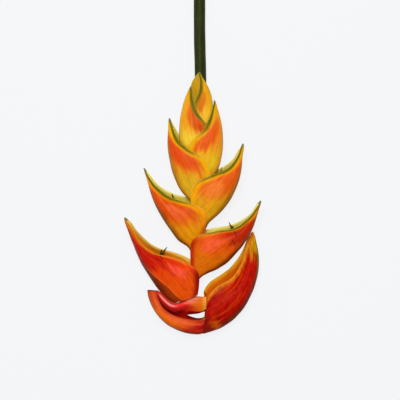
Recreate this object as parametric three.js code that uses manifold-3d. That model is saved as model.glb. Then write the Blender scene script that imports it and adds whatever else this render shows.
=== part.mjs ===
// Hanging lobster claw flower, cut from the plant and laid on its side.
// Millimetres, Z up out of the surface it lies on, +Y towards the cut end of the stalk.
import { BufferAttribute, BufferGeometry, CatmullRomCurve3, Color, Group, Mesh, MeshStandardMaterial, Vector3 } from 'three';
import { LoftGeometry } from 'three/addons/geometries/LoftGeometry.js';
import { mergeVertices } from 'three/addons/utils/BufferGeometryUtils.js';
import Module from 'manifold-3d';

const wasm = await Module();
wasm.setup();

// Outlines are given in millimetres on the plan of the flower, x to the right and y down
// from the top. The middle of that plan is the origin of the part.
const PLAN_MIDDLE = { x: 192.5, y: 161.25 };

// ---- sizes that drive the plant -------------------------------------------------------
const WALL = 1.25; // bract wall
const LIP_WALL = 1.0; // bract wall at its open edge
const CLEAR = 0.45; // room between one bract and the next where they wrap
const SEAT = 0.35; // room between a bract's base and the axis
const STALK_RADIUS = 5.78;
const AXIS_RADIUS = 4.0;
const ROWS_ACROSS = [0, 0.035, 0.13, 0.29, 0.5, 0.76, 1]; // from keel to open edge, outside
const ROWS_INSIDE = [0, 0.12, 0.35, 0.7, 1]; // from the bottom of the fold to the open edge

// ---- the axis: stalk, then the zigzag that the bracts sit on --------------------------
const STALK_LINE = [[199.5, -12], [199.5, 15], [199.6, 32], [199.85, 48], [200.3, 64], [200.6, 78], [200.9, 102]];
const AXIS_LINE = [[200.93, 102.5], [201.6, 124], [199.2, 148], [202.6, 176], [198, 200], [202.2, 226], [196.2, 252],
  [195.6, 264], [195.2, 274], [193.6, 284], [192.4, 292], [192.6, 299], [194.6, 307.5]];
// Height of the axis above the surface: flat under the stalk, then lifted by the bracts.
const AXIS_HEIGHT = [[-12, 5.78], [40, 5.78], [60, 5.8], [76, 5.86], [88, 6.05], [96, 6.5], [105, 7.8], [115, 10.2], [125, 12.9], [136, 15.1],
  [152, 16.6], [176, 16.6], [225, 14.8], [252, 13.4], [280, 12.4], [289, 11.6],
  [294.5, 10.3], [298, 8.8], [303, 8.2], [309, 9]];

/** Smooth run of a value over a list of [place, value] pairs. */
function along(pairs, at) {
  if (at <= pairs[0][0]) return pairs[0][1];
  for (let i = 1; i < pairs.length; i++) {
    if (at <= pairs[i][0]) {
      const [p0, v0] = pairs[i - 1];
      const [p1, v1] = pairs[i];
      const before = pairs[i - 2] ?? pairs[i - 1];
      const after = pairs[i + 1] ?? pairs[i];
      const span = p1 - p0;
      const m0 = before === pairs[i - 1] ? 0 : ((v1 - before[1]) / (p1 - before[0])) * span;
      const m1 = after === pairs[i] ? 0 : ((after[1] - v0) / (after[0] - p0)) * span;
      const t = (at - p0) / span;
      return (2 * t ** 3 - 3 * t ** 2 + 1) * v0 + (t ** 3 - 2 * t ** 2 + t) * m0
        + (-2 * t ** 3 + 3 * t ** 2) * v1 + (t ** 3 - t ** 2) * m1;
    }
  }
  return pairs.at(-1)[1];
}

const onPlan = (x, y, z) => new Vector3(x - PLAN_MIDDLE.x, PLAN_MIDDLE.y - y, z);
const curveOf = (points) => new CatmullRomCurve3(points.map(([x, y]) => new Vector3(x, y, 0)), false, 'centripetal');
const axisHeight = (y) => along(AXIS_HEIGHT, y);

/** Lofts sections into a closed body, turned so that its faces point out. */
function loft(sections) {
  const build = (list) => new LoftGeometry(list, { closed: true, capStart: true, capEnd: true });
  let geometry = build(sections);
  if (volumeOf(geometry) < 0) geometry = build(sections.map((s) => [...s].reverse()));
  return geometry;
}

function volumeOf(geometry) {
  const p = geometry.getAttribute('position');
  const index = geometry.getIndex();
  const [a, b, c] = [new Vector3(), new Vector3(), new Vector3()];
  let sum = 0;
  for (let i = 0; i < index.count; i += 3) {
    a.fromBufferAttribute(p, index.getX(i));
    b.fromBufferAttribute(p, index.getX(i + 1));
    c.fromBufferAttribute(p, index.getX(i + 2));
    sum += a.dot(b.cross(c)) / 6;
  }
  return sum;
}

/** A round bar that follows a line on the plan at the height of the axis. */
function bar(line, radiusAt, stations, sides) {
  const curve = curveOf(line);
  const sections = [];
  for (let i = 0; i <= stations; i++) {
    const u = i / stations;
    const p = curve.getPointAt(u);
    const q = curve.getPointAt(Math.min(1, u + 0.01));
    const o = curve.getPointAt(Math.max(0, u - 0.01));
    const run = onPlan(q.x, q.y, axisHeight(q.y)).sub(onPlan(o.x, o.y, axisHeight(o.y))).normalize();
    const side = new Vector3(0, 0, 1).cross(run).normalize();
    const up = run.clone().cross(side);
    const middle = onPlan(p.x, p.y, axisHeight(p.y));
    const r = radiusAt(u);
    sections.push(Array.from({ length: sides }, (_, k) => {
      const a = (k / sides) * Math.PI * 2 + (sides % 4 ? 0 : Math.PI / sides); // a flat, not a corner, lies underneath
      const reach = r / Math.cos(Math.PI / sides); // flats, not corners, lie at the radius
      return middle.clone().addScaledVector(side, Math.cos(a) * reach).addScaledVector(up, Math.sin(a) * reach);
    }));
  }
  return loft(sections);
}

// ---- bracts ---------------------------------------------------------------------------
// keel: outer fold, tip to base. near: open edge of the upper wall. back: open edge of the
// lower wall. height: middle plane over the run. half: half thickness over the run.
const BRACTS = [
  {
    keel: [[200, 71.9], [202.3, 77], [206, 83], [210, 91], [212, 98.3], [212.8, 106], [212.3, 113], [210.2, 119.5], [206.6, 124.4]],
    near: [[198.9, 72.1], [199, 76], [200, 80], [200, 85], [199.5, 90], [198, 95], [196, 100], [194.2, 105], [193.8, 111], [195.2, 116], [198, 121], [202, 124.8]],
    back: [[198.2, 72.7], [196, 76], [194, 79], [192, 83], [191, 87.5], [191.8, 93], [192.2, 99], [192.6, 105], [192.9, 111], [194.4, 116], [197.2, 121.2], [201.4, 125.2]],
    height: [[0, 14.2], [0.3, 16], [0.5, 16.8], [0.7, 18.3], [0.85, 19.8], [1, 21]], half: [[0, 0.9], [0.18, 2.6], [0.45, 3.9], [0.75, 3.7], [1, 2.8]],
    backHalf: 0.7, lip: [[0, 0.6], [1, 0.5]], stations: 15, settles: false,
  },
  {
    keel: [[190.2, 86.8], [187, 93.5], [184.3, 100.3], [182, 109], [180.3, 117], [179.5, 125], [179.1, 135], [180.5, 143], [184.5, 150], [190.5, 155.5]],
    near: [[191.2, 86.6], [191.6, 90], [192, 95], [194, 104.3], [196.7, 111.7], [200, 117], [204, 121.7], [207, 127], [208.5, 135], [207.5, 143]],
    back: [[191, 87.2], [191.6, 91], [192, 97], [192.7, 104], [193.3, 111], [194, 118], [195.6, 126], [199, 133], [203, 139], [205, 144.5]],
    height: [[0, 18.3], [0.4, 17.2], [1, 16.6]], half: [[0, 0.9], [0.15, 2.6], [0.5, 6.6], [0.8, 7.2], [1, 6.5]], lip: [[0, 0.6], [0.6, 0.6], [1, 0.85]], stations: 17,
  },
  {
    keel: [[214.9, 100.6], [216.3, 104], [218, 110.3], [220.3, 118.3], [222, 126.3], [222.8, 135], [223, 145], [222.3, 153], [221, 159.7], [219.5, 166], [216, 173], [212, 178], [208.8, 180.6]],
    near: [[213.9, 100.6], [213.4, 105], [211.3, 113], [208, 122.3], [204, 129.7], [199.3, 135], [194, 139], [190, 143.7], [188.6, 149], [188.7, 156], [190.5, 163], [193, 168]],
    back: [[214.2, 101.4], [213.8, 106], [212.8, 113], [210.8, 121], [208.6, 129], [204, 136], [198, 141], [193, 146], [190.5, 152], [190.3, 159], [191.8, 165], [193.8, 169.5]],
    height: [[0, 18.5], [0.5, 17.4], [1, 16.6]], half: [[0, 0.9], [0.15, 3], [0.5, 8], [0.8, 7.4], [1, 6.2]], lip: [[0, 0.6], [0.6, 0.6], [1, 0.85]], stations: 19,
  },
  {
    keel: [[168.8, 118.3], [168.2, 123.7], [168, 131.7], [167.5, 140], [167.8, 149], [169.6, 160], [171.7, 170], [175, 179], [179.2, 188.3], [184.2, 195], [189.2, 200], [192, 202.6]],
    near: [[169.8, 118.2], [170.9, 121.9], [172.7, 128.3], [175.3, 135], [179.3, 142.3], [184.7, 147], [190, 151], [195.3, 154.3], [200, 156], [205.8, 161.7], [209.2, 168.3], [210.3, 175], [209.6, 182], [207.5, 189], [205, 194]],
    back: [[170.1, 118.8], [171.6, 122], [173.8, 126.5], [176.5, 131], [179.5, 136], [184.5, 141.5], [190, 146.5], [195.5, 150.5], [200.5, 154], [205.5, 159], [208, 166], [208.4, 174], [208, 182], [206.2, 189.5], [204.4, 194.6]],
    height: [[0, 14], [0.5, 15.6], [1, 16.3]], half: [[0, 0.9], [0.1, 2.8], [0.45, 8.6], [0.8, 7.6], [1, 6.1]], lip: [[0, 0.6], [0.6, 0.6], [1, 0.85]], stations: 20,
  },
  {
    keel: [[243.4, 143.8], [244.1, 146], [243.7, 150], [242.5, 157], [241.7, 167], [240, 177], [237.5, 185], [235, 191], [231, 199], [225, 207.5], [219, 214], [213.3, 219], [210.2, 221.8], [208.3, 224.6], [207.4, 228]],
    near: [[242.4, 143.6], [240.8, 147.5], [238.3, 155], [234.2, 161.7], [229.2, 167.5], [222.5, 171.7], [215.8, 173.8], [210, 176.3], [204, 178.8], [198.3, 181.7], [194.2, 185], [191.7, 190], [190.8, 196], [191.4, 203], [193.3, 210], [196, 216]],
    back: [[242.3, 144.4], [240.6, 147.6], [238, 151], [234, 158], [229, 163], [223.3, 166.7], [217, 169.8], [210, 172], [203, 175], [196.8, 179], [193, 184], [191.4, 190], [191.2, 197], [192.2, 204], [194.2, 211], [196.8, 217]],
    height: [[0, 18], [0.5, 16.6], [1, 15.3]], half: [[0, 0.9], [0.1, 3], [0.45, 9.4], [0.8, 8], [1, 6]], lip: [[0, 0.6], [0.6, 0.55], [1, 0.85]], stations: 21,
  },
  {
    keel: [[143.4, 168], [144.9, 173.3], [147.5, 181.7], [150, 191], [153, 200], [156.7, 208.3], [161, 216], [166, 224], [171, 231], [178.3, 240.7], [184.3, 244.6], [187.3, 246.6], [189.5, 249.1], [190.6, 252.4]],
    near: [[144.3, 167.8], [145.9, 171.7], [150, 179], [155, 185.8], [161, 191], [167.5, 195.8], [174, 199], [182, 201.3], [188, 203], [195, 205], [200, 207.5], [204, 211], [206.3, 216], [206, 222], [204.8, 228], [203.6, 235], [201.5, 241]],
    back: [[144.9, 168.6], [147, 171.6], [150.8, 176.7], [156.7, 184], [163.3, 189], [171, 193], [178, 195.4], [185, 197], [192, 199.5], [198.5, 203], [203.2, 208.5], [205.2, 215], [205, 222.5], [203.8, 230], [202.3, 236], [200.5, 241.8]],
    height: [[0, 11.5], [0.5, 13.2], [1, 13.7]], half: [[0, 0.9], [0.1, 3], [0.45, 9.8], [0.8, 8.4], [1, 6]], lip: [[0, 0.6], [0.6, 0.55], [1, 0.85]], stations: 21,
  },
  {
    keel: [[261.2, 200.8], [261, 203], [259.7, 206.7], [257.7, 213.3], [255.7, 220], [253.7, 226], [251.7, 230.7], [249.3, 236], [246, 240.7], [242, 246.7], [237.3, 252], [232, 258], [226.7, 263.3], [221.3, 266.7], [216, 270], [210.7, 272], [205.3, 274.6], [201.9, 276.4], [199.7, 279]],
    near: [[260.4, 200.4], [259.4, 203.2], [256.7, 207.3], [253.7, 212], [250, 216.7], [245.3, 220.7], [240, 225.3], [234.7, 228], [229.3, 229.7], [223.3, 230.3], [216, 231.3], [210, 232.7], [205.3, 233.7], [200.7, 234.7], [196.3, 237.2], [192.5, 240.4], [190.9, 245], [190.7, 251], [190.7, 257], [190.9, 263], [191.5, 268]],
    back: [[259.9, 200.9], [257.3, 203.3], [254.7, 208], [251.7, 212.7], [248, 216], [244, 218.7], [239.3, 221.7], [233.3, 224], [226.7, 226], [220, 227], [213.3, 228.3], [206, 230], [199, 232.5], [193.4, 236.6], [191, 242], [190.6, 249], [190.6, 256], [190.8, 263], [191.6, 268.6]],
    height: [[0, 18.5], [0.4, 16.5], [1, 12.8]], half: [[0, 0.9], [0.1, 3], [0.45, 9.6], [0.8, 8.2], [1, 5.9]], lip: [[0, 0.6], [0.6, 0.55], [1, 0.85]], stations: 21,
  },
  {
    keel: [[124.3, 217.6], [124.3, 220], [126, 225.3], [128.3, 231.3], [131, 239.3], [133.3, 244.7], [135.7, 251.3], [138.3, 257.3], [141, 263.3], [144.3, 268.7], [148.3, 275.3], [152.3, 281.3], [156.3, 287.1], [160.4, 292.2], [165, 297.4], [170, 301], [175, 303]],
    near: [[125.2, 217.3], [126.2, 219.6], [129.3, 224.7], [133, 230], [137, 238], [142, 245], [150, 251], [156, 254], [163, 255.5], [170, 257], [180, 260], [185, 262.5], [190, 265], [194.3, 267.5], [197.5, 271.5], [199, 277], [198.8, 284], [198.2, 290], [197.3, 295.2]],
    back: [[125.9, 217.7], [128.3, 219.8], [131.7, 223.3], [135, 228.7], [139.7, 234], [145, 239.3], [150.3, 244], [155, 246.7], [160, 249], [167, 250.7], [173.7, 252.7], [179.7, 254.7], [185.7, 257.3], [191, 260.5], [195.5, 265], [198.1, 271], [198.9, 278], [198.6, 286], [197.4, 294.8]],
    height: [[0, 16.5], [0.35, 12.2], [0.6, 10], [0.75, 10.4], [1, 12.2]], half: [[0, 0.9], [0.1, 3.2], [0.45, 11.2], [0.65, 11.5], [0.85, 9], [1, 6.6]], lip: [[0, 0.6], [0.6, 0.5], [0.85, 0.7], [1, 0.84]], stations: 22,
  },
  {
    keel: [[253.2, 231.6], [254.4, 233.6], [255.3, 236.7], [256.7, 243.3], [258, 249.3], [259, 256.7], [259.1, 263.3], [258.7, 270], [257.3, 277.3], [255.3, 284.7], [254, 289], [250.8, 295.8], [247.5, 302.5], [243.3, 309.2], [238.3, 315], [232.5, 320.8], [226.7, 324.6], [220.8, 328.3], [215, 330.4], [209.5, 332], [206.4, 332.9], [203.6, 333.6]],
    near: [[252.4, 231.9], [252, 235], [250, 240], [248, 244], [245.7, 250], [244, 257.3], [242, 263.3], [238.7, 269.3], [234.7, 275.3], [230, 280], [224.7, 282.7], [220, 285.3], [215.3, 288.7], [211, 293], [208.3, 297.4], [207, 301]],
    back: [[251.6, 232.4], [250, 236], [247.3, 240], [245.3, 245.3], [242.7, 251.3], [239.3, 257.3], [234.7, 263.3], [230, 268.7], [225.3, 272.3], [220, 276], [214.7, 279.3], [210, 282.7], [206.7, 286.7], [204.7, 289.7], [203.6, 293.4], [204.2, 297.2], [206, 300]],
    height: [[0, 7.6], [0.15, 8.4], [0.35, 9.6], [0.6, 9.9], [0.8, 10.4], [1, 12]], half: [[0, 0.9], [0.1, 3], [0.3, 7.6], [0.5, 10.8], [0.75, 11.4], [0.9, 9], [1, 7.2]], lip: [[0, 0.6], [0.6, 0.5], [1, 0.8]], stations: 22, settles: false,
  },
  {
    keel: [[147.3, 289.9], [147.6, 293.5], [149.2, 300], [152.5, 307.5], [156.7, 314.2], [161.7, 320], [167.5, 325], [173.3, 328.3], [180, 331.3], [186.7, 333.3], [194.2, 334.3], [199.3, 334.3], [202.7, 332.9], [204.7, 330.2], [206.7, 327.2]],
    near: [[156.6, 290.4], [157, 296], [158.8, 300.8], [162.5, 307.5], [168.3, 312.5], [175, 315.8], [181.7, 317.9], [190, 319.6], [197, 320.2], [201.6, 320.2], [205.2, 319.8]],
    back: [[157.6, 290.4], [160.5, 292.8], [164.2, 296.6], [168.2, 300], [172.6, 302.6], [176, 303.3], [180, 302], [184.4, 299.8], [188.6, 297.5], [193, 296.6], [196.5, 296.8], [201, 297.1], [206.3, 297.4]],
    height: [[0, 12.4], [1, 12]], half: [[0, 4.6], [0.25, 6.8], [0.6, 7.2], [0.8, 5.8], [0.9, 3.7], [1, 2.8]], lip: [[0, 0.8], [1, 0.8]], stations: 18, settles: false, cut: true, curl: true,
  },
];

const bulge = (t, lip) => (t < 0.5
  ? (1 - (1 - t / 0.5) ** 2) ** 0.58
  : lip + (1 - lip) * (0.5 + 0.5 * Math.cos((Math.PI * (t - 0.5)) / 0.5)));
// The cut bract's lower wall goes down from the keel, then curls up to its open edge.
const CURL = [[0, 0], [0.1, -0.6], [0.25, -0.95], [0.45, -0.85], [0.62, -0.3], [0.8, 0.3], [1, 0.1]];

/** The grid of points of one bract's two walls, outside and inside. */
function wallsOf(spec) {
  const [keel, near, back] = [spec.keel, spec.near, spec.back].map(curveOf);
  const rows = [];
  for (let i = 0; i <= spec.stations; i++) {
    const u = i / spec.stations;
    const e = spec.cut ? u : u ** 1.15; // closer together towards the tip
    const [k, n, b] = [keel, near, back].map((c) => c.getPointAt(e));
    const height = along(spec.height, e);
    const half = along(spec.half, e);
    const lip = along(spec.lip, e);
    const wall = Math.min(WALL, half * 0.55);
    const inner = half - wall;
    const reach = n.distanceTo(k);
    const depth = spec.cut ? 1 : Math.min(1, 0.3 + e * 4); // the fold is solid near the tip
    const start = Math.max(wall / reach, 1 - depth);
    const sides = [n, b].map((edge, side) => {
      const sign = side ? -1 : 1;
      const share = side ? (spec.backHalf ?? 1) : 1;
      const dir = edge.clone().sub(k);
            const at = (t, size) => {
        if (spec.curl && side) return size * along(CURL, t);
        return sign * share * size * bulge(t, lip);
      };
      const out = ROWS_ACROSS.map((t) => ({ x: k.x + dir.x * t, y: k.y + dir.y * t, z: height + at(t, half), t }));
      const lipInner = Math.max(0.25, share * half * lip - Math.min(LIP_WALL, wall));
      const inn = ROWS_INSIDE.map((s) => {
        const t = start + (1 - start) * s;
        let z;
        if (spec.curl && side) z = s === 0 ? height : height + at(t, half) + wall;
        else {
          const bed = bulge(s, lipInner / Math.max(0.3, share * inner));
          z = height + sign * (s === 0 ? 0 : Math.max(0.2, share * inner) * bed);
        }
        return { x: k.x + dir.x * t, y: k.y + dir.y * t, z, t };
      });
      return { out, inn };
    });
    rows.push({ near: sides[0], back: sides[1], height });
  }
  return rows;
}

/** Highest (sign 1) or lowest (sign -1) point of the given walls' skin over a place, or null. */
function coverAt(others, sign, x, y, skin = 'out') {
  let found = null;
  for (const rows of others) {
    for (let i = 0; i + 1 < rows.length; i++) {
      const a = (sign > 0 ? rows[i].near : rows[i].back)[skin];
      const b = (sign > 0 ? rows[i + 1].near : rows[i + 1].back)[skin];
      for (let j = 0; j + 1 < a.length; j++) {
        for (const tri of [[a[j], a[j + 1], b[j]], [a[j + 1], b[j + 1], b[j]]]) {
          const [p, q, r] = tri;
          const d = (q.y - r.y) * (p.x - r.x) + (r.x - q.x) * (p.y - r.y);
          if (Math.abs(d) < 1e-9) continue;
          const l0 = ((q.y - r.y) * (x - r.x) + (r.x - q.x) * (y - r.y)) / d;
          const l1 = ((r.y - p.y) * (x - r.x) + (p.x - r.x) * (y - r.y)) / d;
          const l2 = 1 - l0 - l1;
          if (l0 < -1e-6 || l1 < -1e-6 || l2 < -1e-6) continue;
          const z = l0 * p.z + l1 * q.z + l2 * r.z;
          if (found === null || sign * z > sign * found) found = z;
        }
      }
    }
  }
  return found;
}

/** Lifts the upper wall over, and drops the lower wall under, the bracts and axis it wraps. */
function settle(rows, others) {
  for (const sign of [1, -1]) {
    const key = sign > 0 ? 'near' : 'back';
    const need = rows.map((row) => row[key].out.map((p, j) => {
      if (j < 2) return 0;
      const inner = p.z - sign * (WALL + 0.1);
      let most = 0;
      for (const [dx, dy] of [[0, 0], [1.6, 0], [-1.6, 0], [0, 1.6], [0, -1.6]]) {
        const z = coverAt(others, sign, p.x + dx, p.y + dy);
        if (z !== null) most = Math.max(most, sign * (z - inner) + CLEAR);
      }
      return most;
    }));
    let lift = need.map((r) => [...r]);
    for (let pass = 0; pass < 4; pass++) {
      lift = lift.map((r, i) => r.map((v, j) => {
        if (j === 0) return 0;
        const around = [lift[Math.max(0, i - 1)][j], lift[Math.min(lift.length - 1, i + 1)][j], r[j - 1], r[Math.min(r.length - 1, j + 1)]];
        return Math.max(need[i][j], (v + around.reduce((s, w) => s + w, 0)) / 5);
      }));
    }
    rows.forEach((row, i) => {
      const pairs = row[key].out.map((p, j) => [p.t, lift[i][j]]);
      row[key].out.forEach((p, j) => { p.z += sign * lift[i][j]; });
      row[key].inn.forEach((p) => { p.z += sign * line(pairs, p.t); });
    });
  }
}

function line(pairs, at) {
  for (let i = 1; i < pairs.length; i++) {
    if (at <= pairs[i][0]) {
      const f = (at - pairs[i - 1][0]) / (pairs[i][0] - pairs[i - 1][0]);
      return pairs[i - 1][1] + (pairs[i][1] - pairs[i - 1][1]) * Math.max(0, f);
    }
  }
  return pairs.at(-1)[1];
}

/** The closed body of a bract, from its walls. */
function bractBody(rows) {
  const sections = rows.map(({ near, back, height }) => {
    const ring = [];
    for (let j = near.out.length - 1; j > 0; j--) ring.push(near.out[j]);
    ring.push({ ...near.out[0], z: height });
    for (let j = 1; j < back.out.length; j++) ring.push(back.out[j]);
    for (let j = back.inn.length - 1; j > 0; j--) ring.push(back.inn[j]);
    const bed = { x: (near.inn[0].x + back.inn[0].x) / 2, y: (near.inn[0].y + back.inn[0].y) / 2, z: height };
    ring.push(bed);
    for (let j = 1; j < near.inn.length; j++) ring.push(near.inn[j]);
    // What would reach below the surface is pressed flat on it, at its full thickness.
    const skinEnd = near.out.length + back.out.length - 1;
    return ring.map((p, j) => onPlan(p.x, p.y, Math.max(j < skinEnd ? 0 : WALL, p.z)));
  });
  return loft(sections);
}

function solidOf(geometry) {
  const bare = new BufferGeometry();
  bare.setAttribute('position', geometry.getAttribute('position'));
  bare.setIndex(geometry.getIndex());
  const merged = mergeVertices(bare, 1e-4);
  return new wasm.Manifold(new wasm.Mesh({
    numProp: 3,
    vertProperties: new Float32Array(merged.getAttribute('position').array),
    triVerts: new Uint32Array(merged.getIndex().array),
  }));
}

function geometryOf(solid) {
  const mesh = solid.getMesh();
  const geometry = new BufferGeometry();
  geometry.setAttribute('position', new BufferAttribute(mesh.vertProperties, 3));
  geometry.setIndex(new BufferAttribute(mesh.triVerts, 1));
  geometry.computeVertexNormals();
  return geometry;
}

// ---- assembly -------------------------------------------------------------------------
const flower = new Group();
flower.name = 'hanging_lobster_claw_flower';

function add(name, geometry, colour, roughness) {
  const mesh = new Mesh(geometry, new MeshStandardMaterial({ color: new Color(colour), roughness, metalness: 0 }));
  mesh.name = name;
  flower.add(mesh);
}

add('peduncle', bar(STALK_LINE, (u) => STALK_RADIUS - 0.9 * Math.max(0, u - 0.84) / 0.16 - (u === 0 ? 0.5 : 0), 22, 18), '#2b3513', 0.5);
const axisRadius = (u) => AXIS_RADIUS + 0.8 * Math.max(0, 1 - u / 0.2) - 1.7 * Math.min(1, Math.max(0, (u - 0.8) / 0.12))
  - (u === 1 ? 0.5 : 0);
add('rachis', bar(AXIS_LINE, axisRadius, 40, 12), '#c8781c', 0.55);

// The axis as a cover, so that the bracts' walls clear it above and below.
const axisCover = (() => {
  const curve = curveOf(AXIS_LINE);
  const rows = [];
  for (let i = 0; i <= 60; i++) {
    const u = i / 60;
    const p = curve.getPointAt(u);
    const q = curve.getPointAt(Math.min(1, u + 0.01));
    const o = curve.getPointAt(Math.max(0, u - 0.01));
    if (p.y < 127) continue; // above this the stalk is still down on the surface
    const run = q.clone().sub(o).normalize();
    const r = axisRadius(Math.min(u, 0.99));
    const strip = (sign) => [-1, -0.8, -0.4, 0, 0.4, 0.8, 1].map((s) => ({
      x: p.x - run.y * s * r, y: p.y + run.x * s * r, z: axisHeight(p.y) + sign * r * Math.sqrt(1 - s * s * 0.98),
    }));
    rows.push({ near: { out: strip(1) }, back: { out: strip(-1) } });
  }
  return rows;
})();

const COLOURS = ['#c99a26', '#cf9a25', '#d6922a', '#d2832a', '#d97f2c', '#d8692a', '#d6552a', '#c8261c', '#be150f', '#e2601f'];
const walls = BRACTS.map(wallsOf);
BRACTS.forEach((spec, n) => {
  if (spec.settles !== false) settle(walls[n], [axisCover, ...walls.slice(Math.max(0, n - 2), n)]);
  let body = bractBody(walls[n]);
  if (spec.curl) {
    // The gap low in the lower wall, between its curled part and the upper wall's edge.
    const gap = [[187.2, 315], [193, 314.3], [198.3, 313.6], [206, 311.6], [205.4, 315.2], [202.6, 317.6], [197, 318.2], [191.4, 316.8]];
    const outline = gap.map(([x, y]) => [x - PLAN_MIDDLE.x, PLAN_MIDDLE.y - y]).reverse();
    const prism = wasm.Manifold.extrude([outline], 12.8).translate([0, 0, -1]);
    body = geometryOf(solidOf(body).subtract(prism));
  }
  add(`bract_${String(n + 1).padStart(2, '0')}`, body, COLOURS[n], 0.42);
});

// ---- dry flower remains ---------------------------------------------------------------
// Each lies on the inside of its bract's lower wall and leans out of the mouth: a run of
// [x, y, radius, lift off the wall] for every spike of one bract, fused at the root.
const FLOWER_TIPS = {
  5: [[[216.5, 181, 1.4, 0], [219, 175, 1.2, 0.6], [220.6, 171, 0.8, 3], [221.6, 167.4, 0.34, 5.6]]],
  6: [[[177, 206, 1.2, 0], [174.6, 201, 1, 0.3], [173.2, 197.6, 0.8, 0.8], [171.8, 193.6, 0.34, 1.8]]],
  7: [
    [[232.5, 240, 1.5, 0], [232.4, 233, 1.3, 0.5], [231.4, 227, 1, 2], [230.2, 225, 0.6, 2.8], [229, 222.3, 0.34, 3.6]],
    [[233.4, 240, 1.2, 0.2], [233.8, 233, 1.1, 0.6], [233.2, 229, 0.8, 1.6], [232.6, 226, 0.36, 2.2]],
  ],
  8: [
    [[158, 266, 1.5, 0], [160.3, 258.5, 1.3, 0.6], [163, 253, 0.9, 3.2], [165, 249.6, 0.65, 4.8], [167.1, 247.2, 0.34, 6]],
    [[157.2, 266, 1.2, 0.2], [158.8, 259, 1, 0.7], [160.6, 253, 0.7, 1.6], [162, 249.6, 0.36, 2.6]],
  ],
};
for (const [n, spikes] of Object.entries(FLOWER_TIPS)) {
  const rows = walls[n - 1];
  let bloom = null;
  for (const points of spikes) {
    const bed = coverAt([rows], -1, points[0][0], points[0][1], 'inn');
    const lowest = (x, y) => Math.max(WALL, coverAt([rows], -1, x, y, 'inn') ?? bed);
    const spine = new CatmullRomCurve3(points.map(([x, y, r, lift]) => onPlan(x, y, lowest(x, y) + r + SEAT + lift)), false, 'centripetal');
    const sections = [];
    for (let i = 0; i <= 8; i++) {
      const u = i / 8;
      const middle = spine.getPoint(u);
      const run = spine.getTangent(u);
      const side = new Vector3(0, 0, 1).cross(run).normalize();
      const up = run.clone().cross(side);
      const r = line(points.map(([, , radius], j) => [j / (points.length - 1), radius]), u);
      sections.push(Array.from({ length: 8 }, (_, k) => middle.clone()
        .addScaledVector(side, Math.cos((k * Math.PI) / 4) * r).addScaledVector(up, Math.sin((k * Math.PI) / 4) * r)));
    }
    const spike = solidOf(loft(sections));
    bloom = bloom ? bloom.add(spike) : spike;
  }
  add(`flower_tip_${n.padStart(2, '0')}`, geometryOf(bloom), '#3a3024', 0.8);
}

export default flower;
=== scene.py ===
"""Hanging lobster claw flower, cut and laid on its side.

Metres, Z up, +Y towards the stalk's cut end. The outlines are written in millimetres on the
plan of the flower, x to the right and y down.
"""

import math

import bmesh
import bpy
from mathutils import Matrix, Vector, noise


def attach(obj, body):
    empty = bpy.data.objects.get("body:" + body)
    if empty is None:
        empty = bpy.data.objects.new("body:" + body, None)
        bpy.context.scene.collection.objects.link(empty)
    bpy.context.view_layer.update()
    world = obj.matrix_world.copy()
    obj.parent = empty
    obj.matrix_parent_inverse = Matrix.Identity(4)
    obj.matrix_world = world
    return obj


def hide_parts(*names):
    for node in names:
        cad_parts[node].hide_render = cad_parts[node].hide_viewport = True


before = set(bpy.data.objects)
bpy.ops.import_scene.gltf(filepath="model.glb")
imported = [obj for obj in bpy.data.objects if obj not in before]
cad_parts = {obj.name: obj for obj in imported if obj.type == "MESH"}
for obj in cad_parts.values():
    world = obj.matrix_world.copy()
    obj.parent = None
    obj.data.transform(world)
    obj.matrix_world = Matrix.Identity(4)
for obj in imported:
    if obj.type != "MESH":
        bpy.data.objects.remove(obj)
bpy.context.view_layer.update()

MM = 0.001
PLAN_MIDDLE_X = 192.5
PLAN_MIDDLE_Y = 161.25

WALL = 1.25  # the thickness of a bract's wall, in millimetres
LIP_WALL = 0.9  # and at its open edge
THIN_SHARE = 0.55  # near a tip, the wall takes at most this share of the half thickness
CLEAR = 0.45  # air between a bract and what it wraps
STALK_RADIUS = 5.78
AXIS_RADIUS = 4.0
# Shares of a wall from the keel to the edge, where it is lifted over what it wraps
COARSE_ACROSS = [0, 0.035, 0.13, 0.29, 0.5, 0.76, 1]

STALK_LINE = [
    (199.5, -12), (199.5, 15), (199.6, 32), (199.85, 48), (200.3, 64), (200.6, 78), (200.9, 102),
]
AXIS_LINE = [
    (200.93, 102.5), (201.6, 124), (199.2, 148), (202.6, 176), (198, 200), (202.2, 226),
    (196.2, 252), (195.6, 264), (195.2, 274), (193.6, 284), (192.4, 292), (192.6, 299),
    (194.6, 307.5),
]
# How high the middle of the stalk and the axis lies, by y on the plan
AXIS_HEIGHT = [
    (-12, 5.78), (40, 5.78), (60, 5.8), (76, 5.86), (88, 6.05), (96, 6.5), (105, 7.8),
    (115, 10.2), (125, 12.9), (136, 15.1), (152, 16.6), (176, 16.6), (225, 14.8), (252, 13.4),
    (280, 12.4), (289, 11.6), (294.5, 10.3), (298, 8.8), (303, 8.2), (309, 9),
]
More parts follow.
